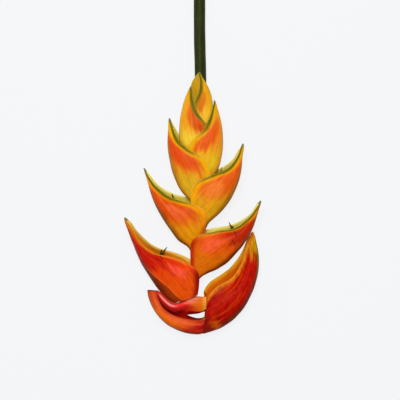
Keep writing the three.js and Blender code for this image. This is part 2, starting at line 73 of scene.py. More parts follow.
# Each bract from its tip to its base. keel: the fold. near, back: the open edge of the upper and
# the lower wall. height: of the keel. half: how far each wall bulges from the keel's level, times
# back_half on the lower one. lip: the share of the bulge that is left at the edge. The runs are
# over the share of the bract's length. settles: its walls are lifted over what they wrap.
# cut: the tip is cut off square. curl: the lower wall curls up.
BRACTS = [
    {  # bract 1
        "keel": (
            (200, 71.9), (202.3, 77), (206, 83), (210, 91), (212, 98.3), (212.8, 106), (212.3, 113),
            (210.2, 119.5), (206.6, 124.4),
        ),
        "near": (
            (198.9, 72.1), (199, 76), (200, 80), (200, 85), (199.5, 90), (198, 95), (196, 100),
            (194.2, 105), (193.8, 111), (195.2, 116), (198, 121), (202, 124.8),
        ),
        "back": (
            (198.2, 72.7), (196, 76), (194, 79), (192, 83), (191, 87.5), (191.8, 93), (192.2, 99),
            (192.6, 105), (192.9, 111), (194.4, 116), (197.2, 121.2), (201.4, 125.2),
        ),
        "height": ((0, 14.2), (0.3, 16), (0.5, 16.8), (0.7, 18.3), (0.85, 19.8), (1, 21)),
        "half": ((0, 0.9), (0.18, 2.6), (0.45, 3.9), (0.75, 3.7), (1, 2.8)), "back_half": 0.7,
        "lip": ((0, 0.6), (1, 0.5)), "stations": 15, "settles": False,
    },
    {  # bract 2
        "keel": (
            (190.2, 86.8), (187, 93.5), (184.3, 100.3), (182, 109), (180.3, 117), (179.5, 125),
            (179.1, 135), (180.5, 143), (184.5, 150), (190.5, 155.5),
        ),
        "near": (
            (191.2, 86.6), (191.6, 90), (192, 95), (194, 104.3), (196.7, 111.7), (200, 117),
            (204, 121.7), (207, 127), (208.5, 135), (207.5, 143),
        ),
        "back": (
            (191, 87.2), (191.6, 91), (192, 97), (192.7, 104), (193.3, 111), (194, 118),
            (195.6, 126), (199, 133), (203, 139), (205, 144.5),
        ),
        "height": ((0, 18.3), (0.4, 17.2), (1, 16.6)),
        "half": ((0, 0.9), (0.15, 2.6), (0.5, 6.6), (0.8, 7.2), (1, 6.5)),
        "lip": ((0, 0.6), (0.6, 0.6), (1, 0.85)), "stations": 17,
    },
    {  # bract 3
        "keel": (
            (214.9, 100.6), (216.3, 104), (218, 110.3), (220.3, 118.3), (222, 126.3), (222.8, 135),
            (223, 145), (222.3, 153), (221, 159.7), (219.5, 166), (216, 173), (212, 178),
            (208.8, 180.6),
        ),
        "near": (
            (213.9, 100.6), (213.4, 105), (211.3, 113), (208, 122.3), (204, 129.7), (199.3, 135),
            (194, 139), (190, 143.7), (188.6, 149), (188.7, 156), (190.5, 163), (193, 168),
        ),
        "back": (
            (214.2, 101.4), (213.8, 106), (212.8, 113), (210.8, 121), (208.6, 129), (204, 136),
            (198, 141), (193, 146), (190.5, 152), (190.3, 159), (191.8, 165), (193.8, 169.5),
        ),
        "height": ((0, 18.5), (0.5, 17.4), (1, 16.6)),
        "half": ((0, 0.9), (0.15, 3), (0.5, 8), (0.8, 7.4), (1, 6.2)),
        "lip": ((0, 0.6), (0.6, 0.6), (1, 0.85)), "stations": 19,
    },
    {  # bract 4
        "keel": (
            (168.8, 118.3), (168.2, 123.7), (168, 131.7), (167.5, 140), (167.8, 149), (169.6, 160),
            (171.7, 170), (175, 179), (179.2, 188.3), (184.2, 195), (189.2, 200), (192, 202.6),
        ),
        "near": (
            (169.8, 118.2), (170.9, 121.9), (172.7, 128.3), (175.3, 135), (179.3, 142.3),
            (184.7, 147), (190, 151), (195.3, 154.3), (200, 156), (205.8, 161.7), (209.2, 168.3),
            (210.3, 175), (209.6, 182), (207.5, 189), (205, 194),
        ),
        "back": (
            (170.1, 118.8), (171.6, 122), (173.8, 126.5), (176.5, 131), (179.5, 136),
            (184.5, 141.5), (190, 146.5), (195.5, 150.5), (200.5, 154), (205.5, 159), (208, 166),
            (208.4, 174), (208, 182), (206.2, 189.5), (204.4, 194.6),
        ),
        "height": ((0, 14), (0.5, 15.6), (1, 16.3)),
        "half": ((0, 0.9), (0.1, 2.8), (0.45, 8.6), (0.8, 7.6), (1, 6.1)),
        "lip": ((0, 0.6), (0.6, 0.6), (1, 0.85)), "stations": 20,
    },
    {  # bract 5
        "keel": (
            (243.4, 143.8), (244.1, 146), (243.7, 150), (242.5, 157), (241.7, 167), (240, 177),
            (237.5, 185), (235, 191), (231, 199), (225, 207.5), (219, 214), (213.3, 219),
            (209.9, 221.9), (207.6, 224.8), (206.4, 228.2),
        ),
        "near": (
            (242.4, 143.6), (240.8, 147.5), (238.3, 155), (234.2, 161.7), (229.2, 167.5),
            (222.5, 171.7), (215.8, 173.8), (210, 176.3), (204, 178.8), (198.3, 181.7),
            (194.2, 185), (191.7, 190), (190.8, 196), (191.4, 203), (193.3, 210), (196, 216),
        ),
        "back": (
            (242.3, 144.4), (240.6, 147.6), (238, 151), (234, 158), (229, 163), (223.3, 166.7),
            (217, 169.8), (210, 172), (203, 175), (196.8, 179), (193, 184), (191.4, 190),
            (191.2, 197), (192.2, 204), (194.2, 211), (196.8, 217),
        ),
        "height": ((0, 18), (0.5, 16.6), (1, 15.3)),
        "half": ((0, 0.9), (0.1, 3), (0.45, 9.4), (0.8, 8), (1, 6)),
        "lip": ((0, 0.6), (0.6, 0.55), (1, 0.85)), "stations": 21,
    },
    {  # bract 6
        "keel": (
            (143.4, 168), (144.9, 173.3), (147.5, 181.7), (150, 191), (153, 200), (156.7, 208.3),
            (161, 216), (166, 224), (171, 231), (178.3, 240.7), (184.3, 244.6), (187.3, 246.6),
            (189.5, 249.1), (190.6, 252.4),
        ),
        "near": (
            (144.3, 167.8), (145.9, 171.7), (150, 179), (155, 185.8), (161, 191), (167.5, 195.8),
            (174, 199), (182, 201.3), (188, 203), (195, 205), (200, 207.5), (204, 211),
            (206.3, 216), (206, 222), (204.8, 228), (203.6, 235), (201.5, 241),
        ),
        "back": (
            (144.9, 168.6), (147, 171.6), (150.8, 176.7), (156.7, 184), (163.3, 189), (171, 193),
            (178, 195.4), (185, 197), (192, 199.5), (198.5, 203), (203.2, 208.5), (205.2, 215),
            (205, 222.5), (203.8, 230), (202.3, 236), (200.5, 241.8),
        ),
        "height": ((0, 11.5), (0.5, 13.2), (1, 13.7)),
        "half": ((0, 0.9), (0.1, 3), (0.45, 9.8), (0.8, 8.4), (1, 6)),
        "lip": ((0, 0.6), (0.6, 0.55), (1, 0.85)), "stations": 21,
    },
    {  # bract 7
        "keel": (
            (261.2, 200.8), (261, 203), (259.7, 206.7), (257.7, 213.3), (255.7, 220), (253.7, 226),
            (251.7, 230.7), (249.3, 236), (246, 240.7), (242, 246.7), (237.3, 252), (232, 258),
            (226.7, 263.3), (221.3, 266.7), (216, 270), (210.7, 272), (205.3, 274.6),
            (201.9, 276.4), (199.7, 279),
        ),
        "near": (
            (260.4, 200.4), (259.4, 203.2), (256.7, 207.3), (253.7, 212), (250, 216.7),
            (245.3, 220.7), (240, 225.3), (234.7, 228), (229.3, 229.7), (223.3, 230.3),
            (216, 231.3), (210, 232.7), (205.3, 233.7), (200.7, 234.7), (196.3, 237.2),
            (192.5, 240.4), (190.9, 245), (190.7, 251), (190.7, 257), (190.9, 263), (191.5, 268),
        ),
        "back": (
            (259.9, 200.9), (257.3, 203.3), (254.7, 208), (251.7, 212.7), (248, 216), (244, 218.7),
            (239.3, 221.7), (233.3, 224), (226.7, 226), (220, 227), (213.3, 228.3), (206, 230),
            (199, 232.5), (193.4, 236.6), (191, 242), (190.6, 249), (190.6, 256), (190.8, 263),
            (191.6, 268.6),
        ),
        "height": ((0, 18.5), (0.4, 16.5), (1, 12.8)),
        "half": ((0, 0.9), (0.1, 3), (0.45, 9.6), (0.8, 8.2), (1, 5.9)),
        "lip": ((0, 0.6), (0.6, 0.55), (1, 0.85)), "stations": 21,
    },
    {  # bract 8
        "keel": (
            (124.3, 217.6), (124.3, 220), (126, 225.3), (128.3, 231.3), (131, 239.3),
            (133.3, 244.7), (135.7, 251.3), (138.3, 257.3), (141, 263.3), (144.3, 268.7),
            (148.3, 275.3), (152.3, 281.3), (156.3, 287.1), (160.4, 292.2), (165, 297.4),
            (170, 301), (175, 303),
        ),
        "near": (
            (125.2, 217.3), (126.2, 219.6), (129.3, 224.7), (133, 230), (137, 238), (142, 245),
            (150, 251), (156, 254), (163, 255.5), (170, 257), (180, 260), (185, 262.5), (190, 265),
            (194.3, 267.5), (197.5, 271.5), (199, 277), (198.8, 284), (198.2, 290), (197.3, 295.2),
        ),
        "back": (
            (125.9, 217.7), (128.3, 219.8), (131.7, 223.3), (135, 228.7), (139.7, 234),
            (145, 239.3), (150.3, 244), (155, 246.7), (160, 249), (167, 250.7), (173.7, 252.7),
            (179.7, 254.7), (185.7, 257.3), (191, 260.5), (195.5, 265), (198.1, 271), (198.9, 278),
            (198.6, 286), (197.4, 294.8),
        ),
        "height": ((0, 16.5), (0.35, 12.2), (0.6, 10), (0.75, 10.4), (1, 12.2)),
        "half": ((0, 0.9), (0.1, 3.2), (0.45, 11.2), (0.65, 11.5), (0.85, 9), (1, 6.6)),
        "lip": ((0, 0.6), (0.6, 0.5), (0.85, 0.7), (1, 0.84)), "stations": 22,
    },
    {  # bract 9
        "keel": (
            (253.2, 231.6), (254.4, 233.6), (255.3, 236.7), (256.7, 243.3), (258, 249.3),
            (259, 256.7), (259.1, 263.3), (258.7, 270), (257.3, 277.3), (255.3, 284.7), (254, 289),
            (250.8, 295.8), (247.5, 302.5), (243.3, 309.2), (238.3, 315), (232.5, 320.8),
            (226.7, 324.6), (220.8, 328.3), (215, 330.4), (209.5, 332.1), (206.2, 333.2),
            (202.6, 334),
        ),
        "near": (
            (252.4, 231.9), (252, 235), (250, 240), (248, 244), (245.7, 250), (244, 257.3),
            (242, 263.3), (238.7, 269.3), (234.7, 275.3), (230, 280), (224.7, 282.7), (220, 285.3),
            (215.3, 288.7), (211, 293), (208.3, 297.4), (207, 301),
        ),
        "back": (
            (251.6, 232.4), (250, 236), (247.3, 240), (245.3, 245.3), (242.7, 251.3),
            (239.3, 257.3), (234.7, 263.3), (230, 268.7), (225.3, 272.3), (220, 276),
            (214.7, 279.3), (210, 282.7), (206.7, 286.7), (204.7, 289.7), (203.6, 293.4),
            (204.2, 297.2), (206, 300),
        ),
        "height": ((0, 7.6), (0.15, 8.4), (0.35, 9.6), (0.6, 9.9), (0.8, 10.4), (1, 12)),
        "half": ((0, 0.9), (0.1, 3), (0.3, 7.6), (0.5, 10.8), (0.75, 11.4), (0.9, 9), (1, 7.2)),
        "lip": ((0, 0.6), (0.6, 0.5), (1, 0.8)), "stations": 22, "settles": False,
    },
    {  # bract 10
        "keel": (
            (147.3, 289.9), (147.6, 293.5), (149.2, 300), (152.5, 307.5), (156.7, 314.2),
            (161.7, 320), (167.5, 325), (173.3, 328.3), (180, 331.3), (186.7, 333.3),
            (194.2, 334.3), (199.3, 334.4), (203, 333.3), (205, 330.7), (206.8, 327.6),
        ),
        "near": (
            (156.6, 290.4), (157, 296), (158.8, 300.8), (162.5, 307.5), (168.3, 312.5),
            (175, 315.8), (181.7, 317.9), (190, 319.6), (197, 320.2), (201.6, 320.2),
            (205.2, 319.8),
        ),
        "back": (
            (157.6, 290.4), (160.5, 292.8), (164.2, 296.6), (168.2, 300), (172.6, 302.6),
            (176, 303.3), (180, 302), (184.4, 299.8), (188.6, 297.5), (193, 296.6), (196.5, 296.8),
            (201, 297.1), (206.3, 297.4),
        ),
        "height": ((0, 12.4), (1, 12)),
        "half": ((0, 4.6), (0.25, 6.8), (0.6, 7.2), (0.8, 5.8), (0.9, 3.7), (1, 2.8)),
        "lip": ((0, 0.8), (1, 0.8)), "stations": 18, "settles": False, "cut": True, "curl": True,
    },
]


# ---- lines and runs ---------------------------------------------------------------------
SPAN_STEPS = 16
EVEN_STEPS = 160


def eased(pairs, at):
    """Smooth run of a value over (place, value) pairs."""
    if at <= pairs[0][0]:
        return pairs[0][1]
    for i in range(1, len(pairs)):
        if at <= pairs[i][0]:
            p0, v0 = pairs[i - 1]
            p1, v1 = pairs[i]
            span = p1 - p0
            m0 = m1 = 0
            if i > 1:
                m0 = (v1 - pairs[i - 2][1]) / (p1 - pairs[i - 2][0]) * span
            if i + 1 < len(pairs):
                m1 = (pairs[i + 1][1] - v0) / (pairs[i + 1][0] - p0) * span
            t = (at - p0) / span
            return ((2 * t**3 - 3 * t**2 + 1) * v0 + (t**3 - 2 * t**2 + t) * m0
                    + (-2 * t**3 + 3 * t**2) * v1 + (t**3 - t**2) * m1)
    return pairs[-1][1]


def straight(pairs, at):
    """Straight run of a value over (place, value) pairs."""
    for i in range(1, len(pairs)):
        if at <= pairs[i][0]:
            f = (at - pairs[i - 1][0]) / (pairs[i][0] - pairs[i - 1][0])
            return pairs[i - 1][1] + (pairs[i][1] - pairs[i - 1][1]) * max(0, f)
    return pairs[-1][1]


def smoothstep(low, high, x):
    """From 0 at low to 1 at high, level at both."""
    t = min(1, max(0, (x - low) / (high - low)))
    return t * t * (3 - 2 * t)


class Line:
    """A smooth line through points, read by its share of length.

    smooth: the number of rounds that take its bumps out.
    """

    def __init__(self, points, smooth=0):
        pts = [Vector((*p, 0)) if len(p) == 2 else Vector(p) for p in points]
        fine = []
        for s in range(len(pts) - 1):
            p1, p2 = pts[s], pts[s + 1]
            p0 = pts[s - 1] if s else 2 * p1 - p2
            p3 = pts[s + 2] if s + 2 < len(pts) else 2 * p2 - p1
            d0, d1, d2 = ((b - a).length ** 0.5 for a, b in ((p0, p1), (p1, p2), (p2, p3)))
            m1 = ((p1 - p0) / d0 - (p2 - p0) / (d0 + d1) + (p2 - p1) / d1) * d1
            m2 = ((p2 - p1) / d1 - (p3 - p1) / (d1 + d2) + (p3 - p2) / d2) * d1
            # the slopes weigh the steps by their roots, so that uneven steps make no loops
            for k in range(SPAN_STEPS):
                t = k / SPAN_STEPS
                fine.append(p1 + m1 * t + (3 * p2 - 3 * p1 - 2 * m1 - m2) * t**2
                            + (2 * p1 - 2 * p2 + m1 + m2) * t**3)
        fine.append(pts[-1])
        self.set(fine)
        if smooth:
            even = [self.at(i / EVEN_STEPS) for i in range(EVEN_STEPS + 1)]
            for _ in range(smooth):
                between = [(a + 2 * b + c) / 4 for a, b, c in zip(even, even[1:], even[2:])]
                even = [even[0]] + between + [even[-1]]
            self.set(even)

    def set(self, fine):
        self.points = fine
        self.reach = [0.0]
        for a, b in zip(fine, fine[1:]):
            self.reach.append(self.reach[-1] + (b - a).length)

    def at(self, share):
        want = min(1, max(0, share)) * self.reach[-1]
        low, high = 0, len(self.reach) - 1
        while high - low > 1:
            mid = (low + high) // 2
            low, high = (mid, high) if self.reach[mid] <= want else (low, mid)
        span = self.reach[high] - self.reach[low]
        part = (want - self.reach[low]) / span if span else 0
        return self.points[low].lerp(self.points[high], part)


def axis_height(y):
    """The level of the middle of the stalk and the axis."""
    return eased(AXIS_HEIGHT, y)


def on_plan(x, y, z):
    """A place on the plan, in metres in the shared frame."""
    return Vector(((x - PLAN_MIDDLE_X) * MM, (PLAN_MIDDLE_Y - y) * MM, z * MM))


# ---- bract walls ------------------------------------------------------------------------
KEEL_FULLNESS = 0.58  # below 1, the wall leaves the keel at a steeper slope
BED_START, BED_RUN = 0.3, 4  # how deep the boat is at its tip, and how fast it deepens
BED_TURN = 6  # how fast the curled wall reaches its full thickness
LEAST_LIP, LEAST_BED, LEAST_INNER = 0.25, 0.2, 0.3
# The curled wall: its level over the share from the keel to the edge, in half thicknesses
CURL = ((0, 0), (0.1, -0.6), (0.25, -0.95), (0.45, -0.85), (0.62, -0.3), (0.8, 0.3), (1, 0.1))
SIDES = (("near", 1), ("back", -1))


def bulge(t, lip):
    """How far a wall stands out, from 0 at the keel over 1 halfway to `lip` at the edge."""
    if t < 0.5:
        return (1 - (1 - t / 0.5) ** 2) ** KEEL_FULLNESS
    return lip + (1 - lip) * (0.5 + 0.5 * math.cos(math.pi * (t - 0.5) / 0.5))


def walls_of(spec, shares, across, inside, smooth=0):
    """For each share of the run: the two walls' points outside and inside, as [x, y, z, t]."""
    keel, near, back = (Line(spec[k], smooth) for k in ("keel", "near", "back"))
    rows = []
    for e in shares:
        k, n, b = keel.at(e), near.at(e), back.at(e)
        height, half, lip = (eased(spec[w], e) for w in ("height", "half", "lip"))
        wall = min(WALL, half * THIN_SHARE)
        inner = half - wall
        depth = 1 if spec.get("cut") else min(1, BED_START + e * BED_RUN)
        start = max(wall / (n - k).length, 1 - depth)
        row = {"height": height}
        for (side, sign), edge in zip(SIDES, (n, b)):
            share = spec.get("back_half", 1) if side == "back" else 1
            run = edge - k
            curled = spec.get("curl") and side == "back"

            def lift(t):
                if curled:
                    return half * eased(CURL, t)
                return sign * share * half * bulge(t, lip)

            out = [[k.x + run.x * t, k.y + run.y * t, height + lift(t), t] for t in across]
            lip_inner = max(LEAST_LIP, share * half * lip - min(LIP_WALL, wall))
            inn = []
            for s in inside:
                t = start + (1 - start) * s
                if curled:
                    z = height + lift(t) + wall * min(1, s * BED_TURN) if s else height
                else:
                    bed = bulge(s, lip_inner / max(LEAST_INNER, share * inner)) if s else 0
                    z = height + sign * max(LEAST_BED, share * inner) * bed
                inn.append([k.x + run.x * t, k.y + run.y * t, z, t])
            row[side] = {"out": out, "inn": inn, "reach": run.length}
        rows.append(row)
    return rows


# ---- walls that wrap what lies under them -----------------------------------------------
INNER_DEPTH = WALL + 0.1  # how deep the inner skin lies under the outer, with a little to spare
LOOK_ROUND = 1.6  # how far round a point the cover is looked for
ROUND_ABOUT = ((0, 0), (LOOK_ROUND, 0), (-LOOK_ROUND, 0), (0, LOOK_ROUND), (0, -LOOK_ROUND))
BORDER = 1  # how far beside a strip of wall a place may be for the strip to be looked at
SPREAD_ROUNDS = 4
EDGE_SLACK = 1e-6
NO_AREA = 1e-9


def height_on(p, q, r, x, y):
    """The height of the triangle p, q, r over a place, or None beside it."""
    area = (q[1] - r[1]) * (p[0] - r[0]) + (r[0] - q[0]) * (p[1] - r[1])
    if abs(area) < NO_AREA:
        return None
    by_p = ((q[1] - r[1]) * (x - r[0]) + (r[0] - q[0]) * (y - r[1])) / area
    by_q = ((r[1] - p[1]) * (x - r[0]) + (p[0] - r[0]) * (y - r[1])) / area
    by_r = 1 - by_p - by_q
    if min(by_p, by_q, by_r) < -EDGE_SLACK:
        return None
    return by_p * p[2] + by_q * q[2] + by_r * r[2]


def cover_at(others, sign, x, y):
    """Highest (sign 1) or lowest (sign -1) point of the given walls over a place."""
    found = None
    side = "near" if sign > 0 else "back"
    for rows in others:
        for row, following in zip(rows, rows[1:]):
            a, b = row[side]["out"], following[side]["out"]
            xs = (a[0][0], a[-1][0], b[0][0], b[-1][0])
            ys = (a[0][1], a[-1][1], b[0][1], b[-1][1])
            if not (min(xs) - BORDER <= x <= max(xs) + BORDER
                    and min(ys) - BORDER <= y <= max(ys) + BORDER):
                continue
            for j in range(len(a) - 1):
                for corners in ((a[j], a[j + 1], b[j]), (a[j + 1], b[j + 1], b[j])):
                    z = height_on(*corners, x, y)
                    if z is not None and (found is None or sign * z > sign * found):
                        found = z
    return found


def least_lift(p, sign, others):
    """How far a point goes up (sign 1) or down (sign -1) to clear what lies under its wall."""
    inner = p[2] - sign * INNER_DEPTH
    most = 0
    for dx, dy in ROUND_ABOUT:
        z = cover_at(others, sign, p[0] + dx, p[1] + dy)
        if z is not None:
            most = max(most, sign * (z - inner) + CLEAR)
    return most


def spread_out(need):
    """The least lifts, with soft slopes round them. The keel stays where it is."""
    last, end = len(need) - 1, len(need[0]) - 1
    lift = need
    for _ in range(SPREAD_ROUNDS):
        spread = []
        for i, r in enumerate(lift):
            before, after = lift[max(0, i - 1)], lift[min(last, i + 1)]
            spread.append([0] + [
                max(need[i][j], (r[j] + before[j] + after[j] + r[j - 1] + r[min(end, j + 1)]) / 5)
                for j in range(1, end + 1)])
        lift = spread
    return lift


def lifts_over(rows, others):
    """How far each wall is lifted over (or dropped under) what it wraps, on the coarse rows."""
    lifts = {}
    for side, sign in SIDES:
        lifts[side] = spread_out([
            [least_lift(p, sign, others) if j > 1 else 0 for j, p in enumerate(row[side]["out"])]
            for row in rows])
    return lifts


def raise_walls(rows, lifts, shares, coarse_shares, easing):
    """Adds the lifts to walls with other rows, read between the coarse rows and places."""
    for row, e in zip(rows, shares):
        for side, sign in SIDES:
            line = [easing(list(zip(coarse_shares, [r[j] for r in lifts[side]])), e)
                    for j in range(len(COARSE_ACROSS))]
            pairs = list(zip(COARSE_ACROSS, line))
            for skin in ("out", "inn"):
                for p in row[side][skin]:
                    p[2] += sign * easing(pairs, p[3])


# ---- the axis, as the bracts wrap it ----------------------------------------------------
AXIS_SWELL, SWELL_END = 0.8, 0.2  # thicker where it comes out of the stalk
AXIS_TAPER, TAPER_START, TAPER_LENGTH = 1.7, 0.8, 0.12  # thinner inside the last bracts
AXIS_ROWS = 60
AXIS_ACROSS = (-1, -0.8, -0.4, 0, 0.4, 0.8, 1)
AXIS_FLANK = 0.98  # just under 1: the axis keeps some height at its flanks
AXIS_FREE_FROM = 127  # y on the plan, up to which the axis is hidden in the first bracts
EITHER_SIDE = 0.01  # the share of a line on each side of a point that gives its direction


def axis_radius(u):
    """The radius of the axis at a share of its length."""
    swell = AXIS_SWELL * max(0, 1 - u / SWELL_END)
    return AXIS_RADIUS + swell - AXIS_TAPER * min(1, max(0, (u - TAPER_START) / TAPER_LENGTH))


def axis_cover():
    """The axis as two walls, for the bracts to wrap."""
    line = Line(AXIS_LINE)
    rows = []
    for i in range(AXIS_ROWS + 1):
        u = i / AXIS_ROWS
        p, q, o = (line.at(v) for v in (u, u + EITHER_SIDE, u - EITHER_SIDE))
        if p.y < AXIS_FREE_FROM:
            continue
        run = (q - o).normalized()
        r = axis_radius(u)
        row = {}
        for side, sign in SIDES:
            out = []
            for s in AXIS_ACROSS:
                level = axis_height(p.y) + sign * r * math.sqrt(1 - s * s * AXIS_FLANK)
                out.append((p.x - run.y * s * r, p.y + run.x * s * r, level))
            row[side] = {"out": out}
        rows.append(row)
    return rows


# ---- meshes -----------------------------------------------------------------------------
SAME_POINT = 1e-7


def sheet_mesh(name, rings, marks):
    """A closed body through rings of points, with its two ends filled.

    marks: for each point, a dict of values that are stored on it.
    """
    across, along = len(rings[0]), len(rings) - 1
    bm = bmesh.new()
    bmesh.ops.create_grid(bm, x_segments=across, y_segments=along, size=1)
    names = list(marks[0][0])
    layers = {n: bm.verts.layers.float.new(n) for n in names}
    for v in bm.verts:
        i = round((v.co.y + 1) / 2 * along)
        j = round((v.co.x + 1) / 2 * across) % across
        v.co = rings[i][j]
        for n in names:
            v[layers[n]] = marks[i][j][n]
    bmesh.ops.remove_doubles(bm, verts=bm.verts, dist=SAME_POINT)
    bmesh.ops.holes_fill(bm, edges=[e for e in bm.edges if e.is_boundary], sides=0)
    bmesh.ops.recalc_face_normals(bm, faces=bm.faces)
    for f in bm.faces:
        f.smooth = True
    for f in bm.faces:
        if len(f.verts) > 4:  # a flat end with a sharp edge round it
            f.smooth = False
            for e in f.edges:
                e.smooth = False
    mesh = bpy.data.meshes.new(name)
    bm.to_mesh(mesh)
    bm.free()
    return mesh


def place(name, mesh, material, node):
    """Puts a finished piece on the flower in the place of the plain solid."""
    obj = bpy.data.objects.new(name, mesh)
    bpy.context.scene.collection.objects.link(obj)
    mesh.materials.append(material)
    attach(obj, "root")
    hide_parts(node)
    return obj


WAVES_ROUND, WAVES_ALONG = 2.2, 0.06  # how close the unevenness of a round piece is


def tube_mesh(name, spine, radius_at, stations, sides, wobble):
    """A round, slightly uneven body along a spine in millimetres on the plan."""
    rings, marks = [], []
    for i in range(stations + 1):
        u = i / stations
        p, q, o = (spine.at(v) for v in (u, u + EITHER_SIDE, u - EITHER_SIDE))
        run = (on_plan(*q) - on_plan(*o)).normalized()
        side = Vector((0, 0, 1)).cross(run).normalized()
        up = run.cross(side)
        middle = on_plan(*p)
        ring, mark = [], []
        for k in range(sides):
            a = 2 * math.pi * k / sides
            where = (math.cos(a) * WAVES_ROUND, math.sin(a) * WAVES_ROUND, p[1] * WAVES_ALONG)
            r = radius_at(u) + wobble * noise.noise(Vector(where))
            point = middle + (side * math.cos(a) + up * math.sin(a)) * r * MM
            point.z = max(point.z, 0.0)
            ring.append(point)
            mark.append({"run": u, "up": math.sin(a)})
        rings.append(ring)
        marks.append(mark)
    return sheet_mesh(name, rings, marks)


FINE_RUN = 78
# Shares of the way from the keel to the edge, outside and inside
FINE_ACROSS = [0.0, 0.006, 0.018, 0.038, 0.068, 0.105, 0.15, 0.2, 0.26, 0.32, 0.38, 0.44, 0.5,
               0.56, 0.62, 0.68, 0.74, 0.8, 0.85, 0.9, 0.94, 0.97, 1.0]
FINE_INSIDE = [0.0, 0.03, 0.1, 0.2, 0.32, 0.45, 0.58, 0.7, 0.8, 0.88, 0.95, 1.0]
LIP_ROUND = (math.radians(40), math.radians(90), math.radians(140))


def bract_rings(rows, shares):
    """Rings round a bract's two walls, with where each point lies on it."""
    rings, marks = [], []
    for row, e in zip(rows, shares):
        near, back = row["near"], row["back"]
        ring, mark = [], []

        def put(p, t, inside, side, floor=0.0):
            """Adds a point to the ring, no lower than the floor."""
            ring.append(on_plan(p[0], p[1], max(floor, p[2])))
            mark.append({"run": e, "rise": t, "inside": inside, "side": side,
                         "lip": (1 - t) * (back if side else near)["reach"]})

        def lip(wall, side, angles):
            """Rounds the open edge, from one skin to the other."""
            o, i = Vector(wall["out"][-1][:3]), Vector(wall["inn"][-1][:3])
            k = Vector(wall["out"][0][:3])
            run = Vector((o.x - k.x, o.y - k.y, 0)).normalized()
            r = (o - i).length / 2
            for a in angles:
                c = (o + i) / 2 + (o - i) / 2 * math.cos(a) + run * r * math.sin(a)
                put(c, 1.0, 0.5, side)

        for p in reversed(near["out"][1:]):
            put(p, p[3], 0, 0)
        put([near["out"][0][0], near["out"][0][1], row["height"]], 0, 0, 0)
        for p in back["out"][1:]:
            put(p, p[3], 0, 1)
        lip(back, 1, LIP_ROUND)
        for p in reversed(back["inn"][1:]):
            put(p, p[3], 1, 1, WALL)
        bed = [(near["inn"][0][a] + back["inn"][0][a]) / 2 for a in (0, 1)]
        put([*bed, row["height"]], near["inn"][0][3], 1, 0, WALL)
        for p in near["inn"][1:]:
            put(p, p[3], 1, 0, WALL)
        lip(near, 0, [math.pi - a for a in LIP_ROUND])
        rings.append(ring)
        marks.append(mark)
    return rings, marks


# ---- materials --------------------------------------------------------------------------
WARM_GLEAM = (1.0, 0.62, 0.5, 1.0)
RELIEF_DEPTH = 0.4 * MM


def linear(r, g, b):
    """A colour of 0 to 255, as the linear light that the shader takes."""
    return tuple(c / 255 / 12.92 if c <= 10 else ((c / 255 + 0.055) / 1.055) ** 2.4
                 for c in (r, g, b)) + (1.0,)


